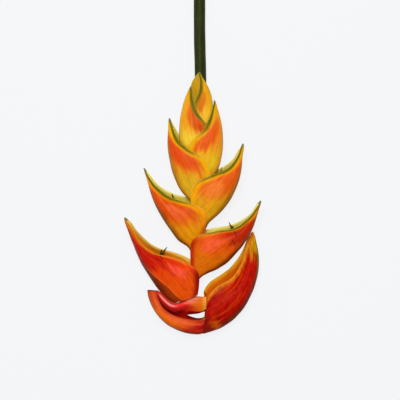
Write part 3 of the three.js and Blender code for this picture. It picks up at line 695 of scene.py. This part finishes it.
class Paint:
    """A material's nodes, built up as masks and coats of colour."""

    def __init__(self, name, roughness, shine=0.14):
        self.material = bpy.data.materials.new(name)
        self.material.use_nodes = True
        self.tree = self.material.node_tree
        self.shader = self.tree.nodes["Principled BSDF"]
        self.shader.inputs["Roughness"].default_value = roughness
        self.shader.inputs["Specular IOR Level"].default_value = shine
        self.shader.inputs["Specular Tint"].default_value = WARM_GLEAM

    def add(self, kind, **props):
        node = self.tree.nodes.new(kind)
        for key, value in props.items():
            setattr(node, key, value)
        return node

    def wire(self, value, socket):
        if isinstance(value, (int, float, tuple)):
            socket.default_value = value
        else:
            self.tree.links.new(value, socket)

    def mark(self, name):
        return self.add("ShaderNodeAttribute", attribute_name=name).outputs["Fac"]

    def place(self):
        return self.add("ShaderNodeTexCoord").outputs["Object"]

    def ramp(self, value, low, high, to_low=0.0, to_high=1.0, interpolation="SMOOTHSTEP"):
        node = self.add("ShaderNodeMapRange", interpolation_type=interpolation)
        for key, v in (("Value", value), ("From Min", low), ("From Max", high),
                       ("To Min", to_low), ("To Max", to_high)):
            self.wire(v, node.inputs[key])
        return node.outputs["Result"]

    def maths(self, operation, a, b=0.0):
        node = self.add("ShaderNodeMath", operation=operation)
        self.wire(a, node.inputs[0])
        self.wire(b, node.inputs[1])
        return node.outputs[0]

    def plus(self, a, b):
        return self.maths("ADD", a, b)

    def minus(self, a, b):
        return self.maths("SUBTRACT", a, b)

    def times(self, *values):
        out = values[0]
        for v in values[1:]:
            out = self.maths("MULTIPLY", out, v)
        return out

    def vector(self, operation, a, b=None):
        node = self.add("ShaderNodeVectorMath", operation=operation)
        self.wire(a, node.inputs[0])
        if b is not None:
            self.wire(b, node.inputs["Scale" if operation == "SCALE" else 1])
        return node.outputs["Value" if operation in ("DOT_PRODUCT", "LENGTH") else "Vector"]

    def coat(self, under, over, mask):
        node = self.add("ShaderNodeMix", data_type="RGBA")
        self.wire(mask, node.inputs["Factor"])
        self.wire(under, node.inputs["A"])
        self.wire(over, node.inputs["B"])
        return node.outputs["Result"]

    def shade(self, colour, amount):
        """The colour made darker (below 1) or lighter (above 1)."""
        return self.vector("SCALE", colour, amount)

    def grain(self, scale, detail=3.0, seed=(0.0, 0.0, 0.0), coordinates="Object"):
        coords = self.add("ShaderNodeTexCoord").outputs[coordinates]
        mapping = self.add("ShaderNodeMapping")
        mapping.inputs["Scale"].default_value = scale
        mapping.inputs["Location"].default_value = seed
        self.tree.links.new(coords, mapping.inputs["Vector"])
        node = self.add("ShaderNodeTexNoise")
        node.inputs["Scale"].default_value = 1.0
        node.inputs["Detail"].default_value = detail
        node.inputs["Roughness"].default_value = 0.55
        self.tree.links.new(mapping.outputs[0], node.inputs["Vector"])
        return node.outputs["Fac"]

    def finish(self, colour, relief=None, strength=0.2):
        self.wire(colour, self.shader.inputs["Base Color"])
        if relief is not None:
            node = self.add("ShaderNodeBump")
            node.inputs["Strength"].default_value = strength
            node.inputs["Distance"].default_value = RELIEF_DEPTH
            self.tree.links.new(relief, node.inputs["Height"])
            self.tree.links.new(node.outputs[0], self.shader.inputs["Normal"])
        return self.material



# ---- the skins of the bracts ------------------------------------------------------------
# tip, body, base: colours along the bract. keel: the colour by the fold, partly its own and
# partly painted shade where the wall turns away from the light. blush: the red over them,
# `amount` strong, round the place `at` (share of the run, share from keel to edge), `wide` each
# way, leaning by `lean`. flame: the long streaks, `flames` strong, beginning at the share `from`.
# sheen: a painted highlight, soft light painted on the shoulder of the wall. mottled: how much
# older skin darkens. rim: the coloured band under the open edge, rim_wide millimetres, down to
# rim_end. olive_end: where its dark line ends, or 0 for none. olive_wide: its width in
# millimetres, if not 4.6. turn: painted shade on the wall where it turns away round the axis.
# inner, deep: the inside, edge and bed. fold, strip_edge, shade, strip_end: the curled strip,
# with fold its painted highlight along the roll and shade its painted shade in the trough.
# shine: the gloss, if not 0.1.
SKINS = [
    {  # bract 1
        "tip": (206, 168, 14), "body": (232, 156, 14), "base": (232, 178, 36),
        "keel": (220, 170, 22), "blush": (200, 94, 8), "at": (0.56, 0.68), "wide": (0.2, 0.32),
        "lean": 0.2, "amount": 0.85, "flame": (236, 170, 28), "flames": 0.4, "from": 0.2,
        "mottled": 0.06, "rim": (176, 148, 2), "rim_end": 0.7, "rim_wide": 1.5, "olive_end": 0.72,
        "inner": (188, 152, 6), "deep": (202, 144, 4),
    },
    {  # bract 2
        "tip": (232, 168, 8), "body": (236, 156, 24), "base": (238, 200, 54),
        "keel": (226, 174, 30), "blush": (214, 74, 12), "at": (0.56, 0.76), "wide": (0.3, 0.36),
        "lean": 0.35, "amount": 1.0, "flame": (238, 150, 32), "flames": 0.35, "from": 0.2,
        "mottled": 0.06, "rim": (204, 130, 2), "rim_end": 0.75, "rim_wide": 2.4, "olive_end": 0.74,
        "inner": (200, 176, 40), "deep": (200, 160, 18),
    },
    {  # bract 3
        "tip": (236, 162, 2), "body": (236, 140, 30), "base": (230, 190, 28),
        "keel": (222, 150, 38), "blush": (226, 84, 16), "at": (0.5, 0.62), "wide": (0.31, 0.38),
        "lean": 0.9, "amount": 1.0, "flame": (236, 136, 32), "flames": 0.35, "from": 0.2,
        "mottled": 0.08, "rim": (230, 168, 4), "rim_end": 0.88, "rim_wide": 4.0, "olive_end": 0.52,
        "inner": (206, 190, 70), "deep": (220, 180, 38),
    },
    {  # bract 4
        "tip": (234, 162, 2), "body": (230, 126, 26), "base": (218, 176, 26),
        "keel": (184, 118, 18), "blush": (222, 68, 10), "at": (0.43, 0.5), "wide": (0.33, 0.5),
        "lean": 1.0, "amount": 1.0, "flame": (234, 124, 32), "flames": 0.45, "from": 0.2,
        "mottled": 0.1, "rim": (236, 170, 4), "rim_end": 0.9, "rim_wide": 4.6, "olive_end": 0.54,
        "inner": (218, 204, 84), "deep": (226, 190, 48),
    },
    {  # bract 5
        "tip": (218, 150, 2), "body": (236, 136, 28), "base": (222, 164, 12), "keel": (160, 100, 2),
        "blush": (226, 88, 14), "at": (0.42, 0.42), "wide": (0.34, 0.52), "lean": 0.9,
        "amount": 1.0, "flame": (238, 128, 32), "flames": 0.5, "from": 0.2, "mottled": 0.1,
        "rim": (240, 164, 4), "rim_end": 0.9, "rim_wide": 4.8, "olive_end": 0.64,
        "inner": (246, 236, 132), "deep": (238, 212, 80), "painted_sheen": (244, 132, 48),
        "painted_sheen_at": (0.6, 0.5), "painted_sheen_wide": (0.13, 0.2),
    },
    {  # bract 6
        "tip": (174, 98, 2), "body": (234, 122, 20), "base": (222, 142, 2), "keel": (140, 76, 2),
        "blush": (220, 72, 8), "at": (0.42, 0.4), "wide": (0.35, 0.6), "lean": 0.6, "amount": 1.0,
        "flame": (236, 122, 24), "flames": 0.5, "from": 0.2, "mottled": 0.12, "rim": (240, 152, 2),
        "rim_end": 0.78, "rim_wide": 4.6, "olive_end": 0.6, "inner": (244, 234, 120),
        "deep": (238, 212, 72), "painted_sheen": (244, 104, 50), "painted_sheen_at": (0.55, 0.47),
        "painted_sheen_wide": (0.13, 0.17), "turn_shade": (190, 84, 2),
    },
    {  # bract 7
        "tip": (196, 122, 6), "body": (228, 76, 8), "base": (222, 108, 2), "keel": (138, 58, 2),
        "blush": (188, 34, 2), "at": (0.34, 0.45), "wide": (0.22, 0.75), "lean": 0.4,
        "amount": 0.95, "flame": (228, 108, 8), "flames": 0.6, "from": 0.42, "mottled": 0.16,
        "rim": (236, 142, 2), "rim_end": 0.66, "rim_wide": 2.4, "olive_end": 0.66,
        "olive_wide": 3.2, "inner": (250, 240, 140), "deep": (246, 218, 88), "painted_sheen": (252, 92, 50),
        "painted_sheen_at": (0.66, 0.6), "painted_sheen_wide": (0.12, 0.15), "turn_shade": (186, 40, 2),
    },
    {  # bract 8
        "tip": (184, 104, 10), "body": (232, 50, 6), "base": (228, 74, 4), "keel": (118, 34, 2),
        "blush": (194, 18, 2), "at": (0.36, 0.4), "wide": (0.26, 0.8), "lean": 0.2, "amount": 0.95,
        "flame": (232, 88, 2), "flames": 0.75, "from": 0.5, "mottled": 0.2, "rim": (232, 126, 6),
        "rim_end": 0.72, "rim_wide": 1.1, "olive_end": 0.0, "inner": (242, 206, 90),
        "deep": (232, 140, 20), "painted_sheen": (255, 86, 62), "painted_sheen_at": (0.72, 0.68),
        "painted_sheen_wide": (0.1, 0.1), "turn_shade": (150, 8, 2),
    },
    {  # bract 9
        "tip": (206, 154, 4), "body": (190, 22, 2), "base": (150, 8, 2), "keel": (112, 34, 2),
        "blush": (188, 4, 2), "at": (0.66, 0.55), "wide": (0.4, 0.5), "lean": 0.0, "amount": 0.8,
        "flame": (222, 74, 4), "flames": 0.5, "from": 0.3, "mottled": 0.38, "shine": 0.055,
        "rim": (232, 128, 12), "rim_end": 1.2, "rim_wide": 1.9, "olive_end": 0.0,
        "inner": (226, 158, 24), "deep": (226, 104, 6),
    },
    {  # bract 10
        "tip": (206, 70, 18), "body": (234, 104, 8), "base": (178, 2, 18), "keel": (124, 44, 2),
        # here the blush is a painted highlight: pink light painted along the upper wall
        "blush": (246, 96, 52), "at": (0.5, 0.76), "wide": (0.55, 0.2), "lean": 0.0, "amount": 0.7,
        "flame": (226, 84, 2), "flames": 0.4, "from": 0.1, "mottled": 0.12, "rim": (186, 54, 18),
        "rim_end": 1.2, "rim_wide": 0.6, "olive_end": 0.0, "inner": (242, 42, 36),
        # deep and shade: painted shade in the bed and trough of the curled strip; fold: a painted
        # highlight along its roll
        "deep": (124, 4, 2), "fold": (255, 150, 146), "strip_edge": (182, 50, 36),
        "shade": (166, 14, 6), "strip_end": (236, 112, 12),
    },
]
OLIVE = linear(86, 92, 0)
OLIVE_END = linear(158, 122, 8)
# the colours of the open edge: partly its own, partly painted highlight
LIP_PALE = linear(222, 204, 98)
LIP_WARM = linear(240, 178, 76)
TIP_GREY = linear(126, 118, 62)
DARK_EDGE = linear(92, 34, 22)
# the brown under the low line: partly its own colour, partly painted shade
LOW_BROWN_AND_SHADE = linear(118, 36, 4)
LOW_LINE = linear(222, 120, 40)
STRIP_RED = linear(222, 54, 18)
STRIP_PEACH = linear(252, 150, 108)
STRIP_GOLD = linear(248, 164, 52)
KEEL_GREEN = linear(112, 112, 16)
# the fine line along the fold: partly its own brown, partly painted shade
KEEL_BROWN_AND_SHADE = linear(96, 48, 12)
TORN_AMBER = linear(206, 88, 8)
TORN_RED = linear(124, 4, 6)
SCAR_BROWN = linear(70, 40, 14)
# The bracts with marks of their own
LINED, TORN, CUT = 8, 9, 10
# Small dark scars on the skin: from, to, half width, in millimetres on the plan
SCARS = {
    7: [((234.3, 231.4), (236.2, 236.2), 0.55), ((232, 239.6), (235, 245), 0.5)],
    8: [((160.4, 256.2), (162.6, 258.8), 0.5)],
    9: [((203.9, 292.2), (206, 295.4), 0.6)],
}


class BractPaint(Paint):
    """The waxy skin of one bract, laid on coat by coat.

    run: the share of the way from the tip to the base. rise: the share from the keel to the edge.
    lip: millimetres from the edge. inside: 1 on the inner skin, 0 on the outer.
    """

    def __init__(self, number, skin):
        super().__init__(f"waxy bract {number:02d}", 0.42, skin.get("shine", 0.1))
        self.number, self.skin = number, skin
        self.run, self.rise, self.lip, self.inside = (
            self.mark(m) for m in ("run", "rise", "lip", "inside"))
        self.streaks = self.along((2.6, 110, 1), 3.0, (3.1, 1.7))
        self.flames = self.along((2.2, 30, 1), 3.0, (5.3, 2.9))
        self.clouds = self.along((4, 16, 1), 2.0, (1.7, 3.1))
        self.mottle = self.along((14, 26, 1), 4.0, (2.3, 4.7))
        # every border between two colours drifts a little
        drift = self.times(self.minus(self.plus(self.clouds, self.flames), 1.0), 0.26)
        self.drift = drift
        self.run_drift, self.rise_drift = self.plus(self.run, drift), self.plus(self.rise, drift)
        self.lip_drift = self.plus(self.lip, self.times(drift, 7.0))
        end = skin["rim_end"]
        self.before_base = self.ramp(self.run, end + 0.08, end - 0.08)

    def along(self, scale, detail, seed):
        """A grain that follows the bract, different on each one."""
        return self.grain(scale, detail, (self.number * seed[0], self.number * seed[1], 0.0), "UV")

    def tone(self, name):
        return linear(*self.skin[name])

    def patch(self, rise, at, wide, lean=0.0):
        """How far a place lies from the middle of an oval: 0 in the middle, 1 at its edge."""
        along = self.minus(self.run_drift, at[0])
        leant = self.minus(rise, self.times(along, lean)) if lean else rise
        along = self.maths("DIVIDE", along, wide[0])
        across = self.maths("DIVIDE", self.minus(leant, at[1]), wide[1])
        return self.plus(self.times(along, along), self.times(across, across))

    def wall(self):
        """Tip, body and base, then the blush, the flames, a painted highlight and the keel, partly
        painted shade.
        """
        skin, run, rise = self.skin, self.run_drift, self.rise_drift
        # the base colour comes in sooner along the keel than along the edge
        towards_base = self.minus(run, self.times(self.rise, 0.22))
        colour = self.coat(self.tone("tip"), self.tone("body"), self.ramp(run, 0.1, 0.3))
        colour = self.coat(colour, self.tone("base"), self.ramp(towards_base, 0.46, 0.74))
        away = self.patch(rise, skin["at"], skin["wide"], skin["lean"])
        blush = self.times(self.ramp(away, 1.35, 0.2), skin["amount"])
        colour = self.coat(colour, self.tone("blush"), blush)
        flames = self.times(self.ramp(self.flames, 0.44, 0.7),
                            self.ramp(self.run, skin["from"], skin["from"] + 0.2), skin["flames"])
        colour = self.coat(colour, self.tone("flame"), flames)
        # painted highlight: a soft patch of light painted on the shoulder of the wall
        if "painted_sheen" in skin:
            away = self.patch(self.rise, skin["painted_sheen_at"], skin["painted_sheen_wide"])
            painted_sheen = self.times(self.ramp(away, 1.8, 0.0),
                               self.ramp(self.streaks, 0.3, 0.6, 1.0, 0.55))
            colour = self.coat(colour, self.tone("painted_sheen"), painted_sheen)
        # the keel colour by the fold: partly its own, partly painted shade where the wall turns
        # away from the light
        fold = self.plus(self.rise, self.times(self.drift, 0.5))
        return self.coat(colour, self.tone("keel"), self.ramp(fold, 0.19, 0.02))

    def low_line(self, colour):
        """The fine line low along the wall; under it darker brown, partly own colour, partly
        painted shade.
        """
        level = self.ramp(self.run, 0.5, 1.0, 0.07, 0.34, interpolation="LINEAR")
        over = self.minus(self.rise, level)
        line = self.times(self.ramp(self.maths("ABSOLUTE", over), 0.016, 0.004),
                          self.ramp(self.run, 0.45, 0.6), self.ramp(self.run, 0.98, 0.9))
        # under the line the wall turns darker brown: partly its own colour, partly painted shade
        # towards the keel
        below = self.times(self.ramp(over, 0.0, -0.05), self.ramp(self.run, 0.3, 0.6))
        colour = self.coat(colour, LOW_BROWN_AND_SHADE, self.times(below, 0.74))
        return self.coat(colour, LOW_LINE, self.times(line, 0.66))

    def rim(self, colour):
        """The band under the open edge, painted shade where the wall turns away, and the dark olive
        line.
        """
        skin, wide, end = self.skin, self.skin["rim_wide"], self.skin["rim_end"]
        band = self.times(self.ramp(self.lip_drift, wide + 3.2, wide - 1.8), self.before_base)
        colour = self.coat(colour, self.tone("rim"), band)
        # painted shade: the wall darker by its edge where it turns away round the axis
        if "turn_shade" in skin:
            turned_shade = self.times(self.ramp(self.lip, 8.5, 1.5), self.ramp(self.run, end, end + 0.12))
            colour = self.coat(colour, self.tone("turn_shade"), turned_shade)
        end = skin["olive_end"]
        if end:
            wide = self.times(self.ramp(self.run, 0.05, 0.35, 2.2, skin.get("olive_wide", 4.6)),
                              self.ramp(self.run, 0.4, end, 1.0, 0.62))
            line = self.times(self.ramp(self.maths("DIVIDE", self.lip, wide), 1.1, 0.45),
                              self.ramp(self.run, end + 0.1, end - 0.1))
            faded = self.maths("MAXIMUM", self.ramp(self.run, end - 0.26, end),
                               self.ramp(self.clouds, 0.5, 0.75, 0.0, 0.5))
            green = self.coat(OLIVE, OLIVE_END, faded)
            colour = self.coat(colour, green, self.times(line, 0.94))
        return colour

    def strip(self):
        """The curled strip: painted shade in its trough, a painted highlight along its roll, golden
        at its end.
        """
        run, rise = self.run_drift, self.rise_drift
        # painted shade: the dark red bed of the curled strip, paler towards its roll
        colour = self.coat(self.tone("deep"), self.tone("inner"), self.ramp(rise, 0.54, 0.68))
        # painted highlight: pale pink light painted along the roll
        roll = self.times(self.ramp(self.rise, 0.76, 0.82), self.ramp(self.rise, 0.92, 0.86),
                          self.ramp(self.run, 0.06, 0.14), self.ramp(self.run, 0.52, 0.34))
        colour = self.coat(colour, self.tone("fold"), roll)
        edge = self.times(self.ramp(rise, 0.9, 0.99), self.ramp(self.run, 0.6, 0.5))
        colour = self.coat(colour, self.tone("strip_edge"), edge)
        # painted shade: darker in the trough
        trough = self.times(self.ramp(run, 0.5, 0.62), self.ramp(rise, 0.84, 0.6))
        colour = self.coat(colour, self.tone("shade"), trough)
        past = self.plus(run, self.times(self.streaks, 0.16))
        red = self.times(self.ramp(past, 0.66, 0.84), self.ramp(self.rise, 0.5, 0.72))
        colour = self.coat(colour, STRIP_RED, red)
        peach = self.times(self.ramp(past, 0.66, 0.8), self.ramp(past, 1.0, 0.9),
                           self.ramp(rise, 0.78, 0.98), 0.8)
        colour = self.coat(colour, STRIP_PEACH, peach)
        colour = self.coat(colour, self.tone("strip_end"), self.ramp(past, 0.84, 1.0))
        gold = self.times(self.ramp(self.run, 0.9, 0.98), self.ramp(rise, 0.3, 0.5))
        return self.coat(colour, STRIP_GOLD, gold)

    def lining(self):
        """The inside of the bract, with veins of its own."""
        if "fold" in self.skin:
            inner = self.strip()
        else:
            by_edge = self.ramp(self.lip_drift, 4.4, 1.2)
            inner = self.coat(self.tone("deep"), self.tone("inner"), by_edge)
        return self.shade(inner, self.ramp(self.streaks, 0.4, 0.66, 1.04, 0.8))

    def edges(self, colour):
        """The open edge's thickness, pale partly of its own and partly as painted highlight, and
        the very tip.
        """
        if self.number == CUT:
            return self.coat(colour, DARK_EDGE, self.ramp(self.run, 0.014, 0.006))
        edge = self.times(self.ramp(self.inside, 0.2, 0.4), self.ramp(self.inside, 0.75, 0.6),
                          self.before_base)
        # the rounded open edge painted pale: partly its own margin, partly painted highlight
        colour = self.coat(colour, LIP_PALE if self.skin["olive_end"] else LIP_WARM, edge)
        if self.number == TORN:
            return colour
        return self.coat(colour, TIP_GREY, self.ramp(self.run, 0.045, 0.02))

    def torn_base(self, colour):
        """The green keel by the tip, and the torn, darkened edge at the base, its last dark line
        partly painted shade.
        """
        green = self.times(self.ramp(self.rise, 0.15, 0.06), self.ramp(self.run, 0.4, 0.24))
        colour = self.coat(colour, KEEL_GREEN, self.times(green, 0.9))
        torn = self.plus(self.run, self.times(self.drift, 0.4))
        amber = self.times(self.ramp(torn, 0.84, 0.9), self.ramp(self.rise, 0.36, 0.2), 0.7)
        colour = self.coat(colour, TORN_AMBER, amber)
        red = self.times(self.ramp(torn, 0.9, 0.96), self.ramp(self.rise, 0.5, 0.36), 0.9)
        colour = self.coat(colour, TORN_RED, red)
        # a dark line along the very base edge: partly its own dark edge, partly painted shade in
        # the crease
        dry = self.times(self.ramp(torn, 0.965, 0.985), self.ramp(self.rise, 0.3, 0.46), 0.8)
        return self.coat(colour, DARK_EDGE, dry)

    def scar(self, start, end, half):
        """A short dark nick: a mask round the line from start to end, seen on both walls."""
        a, b = on_plan(*start, 0), on_plan(*end, 0)
        flat = self.vector("MULTIPLY", self.place(), (1, 1, 0))
        off = self.vector("SUBTRACT", flat, tuple(a))
        share = self.vector("DOT_PRODUCT", off, tuple(b - a))
        share = self.maths("DIVIDE", share, (b - a).length_squared)
        share = self.ramp(share, 0.0, 1.0, interpolation="LINEAR")
        foot = self.vector("SCALE", tuple(b - a), share)
        away = self.vector("LENGTH", self.vector("SUBTRACT", off, foot))
        return self.ramp(away, half * MM * 1.5, half * MM * 0.6)

    def dressed(self):
        colour = self.wall()
        if self.number == LINED:
            colour = self.low_line(colour)
        colour = self.rim(colour)
        # older skin darkens in patches, and long veins run darker and lighter
        aged = self.ramp(self.mottle, 0.42, 0.68, 1.03, 1.0 - self.skin["mottled"])
        colour = self.shade(colour, aged)
        colour = self.shade(colour, self.ramp(self.streaks, 0.4, 0.7, 1.05, 0.84))
        colour = self.coat(colour, self.lining(), self.ramp(self.inside, 0.55, 0.75))
        colour = self.edges(colour)
        if self.number == TORN:
            colour = self.torn_base(colour)
        # a thin dark line on the very fold: partly its own brown, partly painted shade
        crease = self.times(self.ramp(self.rise, 0.016, 0.0), self.ramp(self.run, 0.06, 0.2), 0.7)
        colour = self.coat(colour, KEEL_BROWN_AND_SHADE, crease)
        for start, end, half in SCARS.get(self.number, ()):
            colour = self.coat(colour, SCAR_BROWN, self.times(self.scar(start, end, half), 0.85))
        return self.finish(colour, self.streaks, 0.12)


# ---- the bracts -------------------------------------------------------------------------
COARSE_CROWDING = 1.15  # how far the rows crowd towards a bract's tip: 1 is not at all
FINE_CROWDING = 1.25
LINE_SMOOTHING = 14  # rounds of smoothing on the fine outlines
SETTLES_ON = 2  # the number of older bracts that a bract is checked against
BY_EDGE, EDGE_WIDTH = 0.98, 30  # nearer to the edge than this, a wall counts as this wide
BED_WIDTH = 14  # millimetres that the map gives to the bed on top of half the wall
SIDE_SHIFT = 60  # millimetres on the map between the near wall and the back wall


def grain_map(mesh, length):
    """A map that follows the bract: millimetres along in x and across in y, in hundredths."""
    run, rise, lip, side = (
        mesh.attributes[m].data for m in ("run", "rise", "lip", "side"))
    grain = mesh.uv_layers.new(name="Grain")
    for loop in mesh.loops:
        i = loop.vertex_index
        up = rise[i].value
        width = lip[i].value / (1 - up) if up < BY_EDGE else EDGE_WIDTH
        across = up * (0.5 * width + BED_WIDTH) + SIDE_SHIFT * side[i].value
        grain.data[loop.index].uv = (run[i].value * length / 100, across / 100)


def crowded(count, power):
    """Shares of the run from 0 to 1, closer together towards the tip."""
    return [(i / count) ** power for i in range(count + 1)]


def build_bracts():
    """The fine bracts, tip to base, each one settled on the ones before it."""
    covers, made = [axis_cover()], []
    for number, (spec, skin) in enumerate(zip(BRACTS, SKINS), 1):
        is_cut = spec.get("cut")
        coarse = crowded(spec["stations"], 1 if is_cut else COARSE_CROWDING)
        shares = crowded(FINE_RUN, 1 if is_cut else FINE_CROWDING)
        rows = walls_of(spec, coarse, COARSE_ACROSS, (0, 1))
        fine = walls_of(spec, shares, FINE_ACROSS, FINE_INSIDE, smooth=LINE_SMOOTHING)
        if spec.get("settles", True):
            lifts = lifts_over(rows, [covers[0], *covers[1:][-SETTLES_ON:]])
            raise_walls(rows, lifts, coarse, coarse, straight)
            raise_walls(fine, lifts, shares, coarse, eased)
        covers.append(rows)
        node = f"bract_{number:02d}"
        mesh = sheet_mesh(f"{node}_fine", *bract_rings(fine, shares))
        grain_map(mesh, Line(spec["keel"]).reach[-1])
        made.append(place(f"{node}_fine", mesh, BractPaint(number, skin).dressed(), node))
    return made


bracts = build_bracts()


# ---- the gap low in the cut bract -------------------------------------------------------
GAP = [(187.2, 315), (193, 314.3), (198.3, 313.6), (206, 311.6), (205.4, 315.2), (202.6, 317.6),
       (197, 318.2), (191.4, 316.8)]
GAP_CORNERS = 40
GAP_FROM, GAP_DEEP = -3, 15  # millimetres: where the cutter starts and how far it reaches up
GAP_MARKS = 200
RAW_EDGE = 0.35 * MM  # skin this close to the gap takes the colour of the inside


def gap_cutter(outline):
    """An upright block in the shape of the gap."""
    bm = bmesh.new()
    ring = [bm.verts.new(on_plan(*outline.at(i / GAP_CORNERS)[:2], GAP_FROM))
            for i in range(GAP_CORNERS)]
    grown = bmesh.ops.extrude_face_region(bm, geom=[bm.faces.new(ring)])["geom"]
    bmesh.ops.translate(bm, verts=[v for v in grown if isinstance(v, bmesh.types.BMVert)],
                        vec=(0, 0, GAP_DEEP * MM))
    bmesh.ops.recalc_face_normals(bm, faces=bm.faces)
    mesh = bpy.data.meshes.new("gap cutter")
    bm.to_mesh(mesh)
    bm.free()
    cutter = bpy.data.objects.new("gap cutter", mesh)
    bpy.context.scene.collection.objects.link(cutter)
    return cutter


def open_gap(obj):
    """Cuts the gap through the bract and marks the raw skin round it."""
    outline = Line(GAP + GAP[:1])
    cutter = gap_cutter(outline)
    cut = obj.modifiers.new("gap", "BOOLEAN")
    cut.object = cutter
    cut.operation = "DIFFERENCE"
    cut.solver = "EXACT"
    bpy.context.view_layer.update()
    depsgraph = bpy.context.evaluated_depsgraph_get()
    shaped = bpy.data.meshes.new_from_object(obj.evaluated_get(depsgraph))
    obj.modifiers.remove(cut)
    edge = [on_plan(*outline.at(i / GAP_MARKS)[:2], 0) for i in range(GAP_MARKS)]
    inside = shaped.attributes["inside"].data
    for v in shaped.vertices:
        if any((v.co.x - c.x) ** 2 + (v.co.y - c.y) ** 2 < RAW_EDGE**2 for c in edge):
            inside[v.index].value = 1.0
    obj.data = shaped
    bpy.data.objects.remove(cutter)


open_gap(bracts[CUT - 1])


# ---- stalk, axis and dry flower tips ----------------------------------------------------
def stalk_paint():
    p = Paint("stalk skin", 0.45, 0.12)
    long_grain = p.grain((900, 60, 900))
    flecks = p.grain((1500, 700, 1500), 2.0)
    colour = p.coat(linear(27, 37, 8), linear(46, 56, 15), p.ramp(long_grain, 0.35, 0.7))
    colour = p.coat(colour, linear(96, 108, 66), p.times(p.ramp(flecks, 0.62, 0.74), 0.6))
    # painted shade: the stalk darker down its sides and underneath, away from the light above
    colour = p.coat(colour, linear(20, 26, 10), p.ramp(p.mark("up"), 0.6, 0.1))
    fibres = p.grain((1800, 0, 1800), 1.0)
    cut_face = p.coat(linear(148, 150, 92), linear(96, 92, 44), p.ramp(fibres, 0.5, 0.62))
    colour = p.coat(colour, cut_face, p.ramp(p.mark("run"), 0.0006, 0.0002))
    return p.finish(colour, long_grain, 0.3)


def axis_paint():
    p = Paint("axis skin", 0.45)
    parts = p.add("ShaderNodeSeparateXYZ")
    p.wire(p.place(), parts.inputs[0])
    along = parts.outputs["Y"]
    streaks = p.grain((700, 60, 700))
    colour = p.coat(linear(236, 150, 20), linear(206, 70, 24), p.ramp(along, -0.08, -0.125))
    colour = p.coat(colour, linear(232, 140, 30), p.ramp(along, -0.134, -0.14))
    colour = p.coat(colour, linear(170, 100, 20), p.times(p.ramp(streaks, 0.5, 0.75), 0.5))
    return p.finish(colour, streaks)


def tip_paint(name, dark, light):
    p = Paint(name, 0.8)
    mottle = p.grain((700, 700, 700))
    return p.finish(p.coat(dark, light, p.ramp(mottle, 0.38, 0.62)), mottle, 0.4)


def spine_of(line, count=120):
    """The middle of a round piece, sampled evenly and laid at its height."""
    plan = Line(line, smooth=0)
    points = (plan.at(i / count) for i in range(count + 1))
    return Line([(p.x, p.y, axis_height(p.y)) for p in points])


STALK_CORNER, CORNER_END = 0.5, 0.006  # the soft corner round the cut end
STALK_SLIMS, SLIMS_FROM = 0.9, 0.84  # a little slimmer where the bracts begin
AXIS_END, END_START = 0.8, 0.985  # the rounded end of the axis


def stalk_radius(u):
    corner = STALK_CORNER * (1 - smoothstep(0.0, CORNER_END, u))
    return STALK_RADIUS - corner - STALK_SLIMS * max(0, u - SLIMS_FROM) / (1 - SLIMS_FROM)


def rachis_radius(u):
    return axis_radius(u) - AXIS_END * smoothstep(END_START, 1.0, u)


place("peduncle_fine",
      tube_mesh("peduncle_fine", spine_of(STALK_LINE), stalk_radius, 150, 40, 0.12),
      stalk_paint(), "peduncle")
place("rachis_fine",
      tube_mesh("rachis_fine", spine_of(AXIS_LINE), rachis_radius, 160, 28, 0.2),
      axis_paint(), "rachis")

WITHERED = tip_paint("withered flower tip", linear(58, 36, 8), linear(104, 84, 26))
STRAW = tip_paint("straw coloured flower tip", linear(120, 98, 40), linear(172, 146, 66))
PALE_TIP = "flower_tip_05"
for name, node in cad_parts.items():
    if name.startswith("flower_tip"):
        node.data.materials.clear()
        node.data.materials.append(STRAW if name == PALE_TIP else WITHERED)

# ---- floor, light and camera ------------------------------------------------------------
FLOOR_SIZE = 8
FLOOR_GLOW = 0.91
ROOM_LIGHT = 0.4
AIM = (0, -0.04, 0)  # where the lamp points: the middle of the bracts

bpy.ops.mesh.primitive_plane_add(size=FLOOR_SIZE, location=(0, 0, 0))
floor = bpy.context.object
floor.name = "floor"
pale = Paint("pale floor", 0.9, 0.0)
pale.wire(linear(245, 246, 248), pale.shader.inputs["Emission Color"])
pale.wire(FLOOR_GLOW, pale.shader.inputs["Emission Strength"])
floor.data.materials.append(pale.finish((0.08, 0.08, 0.08, 1.0)))

world = bpy.data.worlds.new("studio")
bpy.context.scene.world = world
world.use_nodes = True
background = world.node_tree.nodes["Background"]
background.inputs["Color"].default_value = (0.98, 0.99, 1.0, 1)
background.inputs["Strength"].default_value = ROOM_LIGHT


def softbox(name, spot, size, power):
    """A round soft lamp above the flower."""
    light = bpy.data.lights.new(name, "AREA")
    light.shape = "DISK"
    light.size = size
    light.energy = power
    lamp = bpy.data.objects.new(name, light)
    lamp.location = spot
    lamp.rotation_euler = (Vector(AIM) - Vector(spot)).to_track_quat("-Z", "Y").to_euler()
    bpy.context.scene.collection.objects.link(lamp)


softbox("key", (-0.12, 0.42, 1.35), 0.75, 15)

camera_data = bpy.data.cameras.new("camera")
camera_data.lens = 200
camera_data.sensor_width = 36
camera_data.clip_end = 20
camera = bpy.data.objects.new("camera", camera_data)
camera.location = (7.5 * MM, -38.75 * MM, 2.234)
bpy.context.scene.collection.objects.link(camera)
bpy.context.scene.camera = camera
bpy.context.scene.view_settings.view_transform = "Standard"
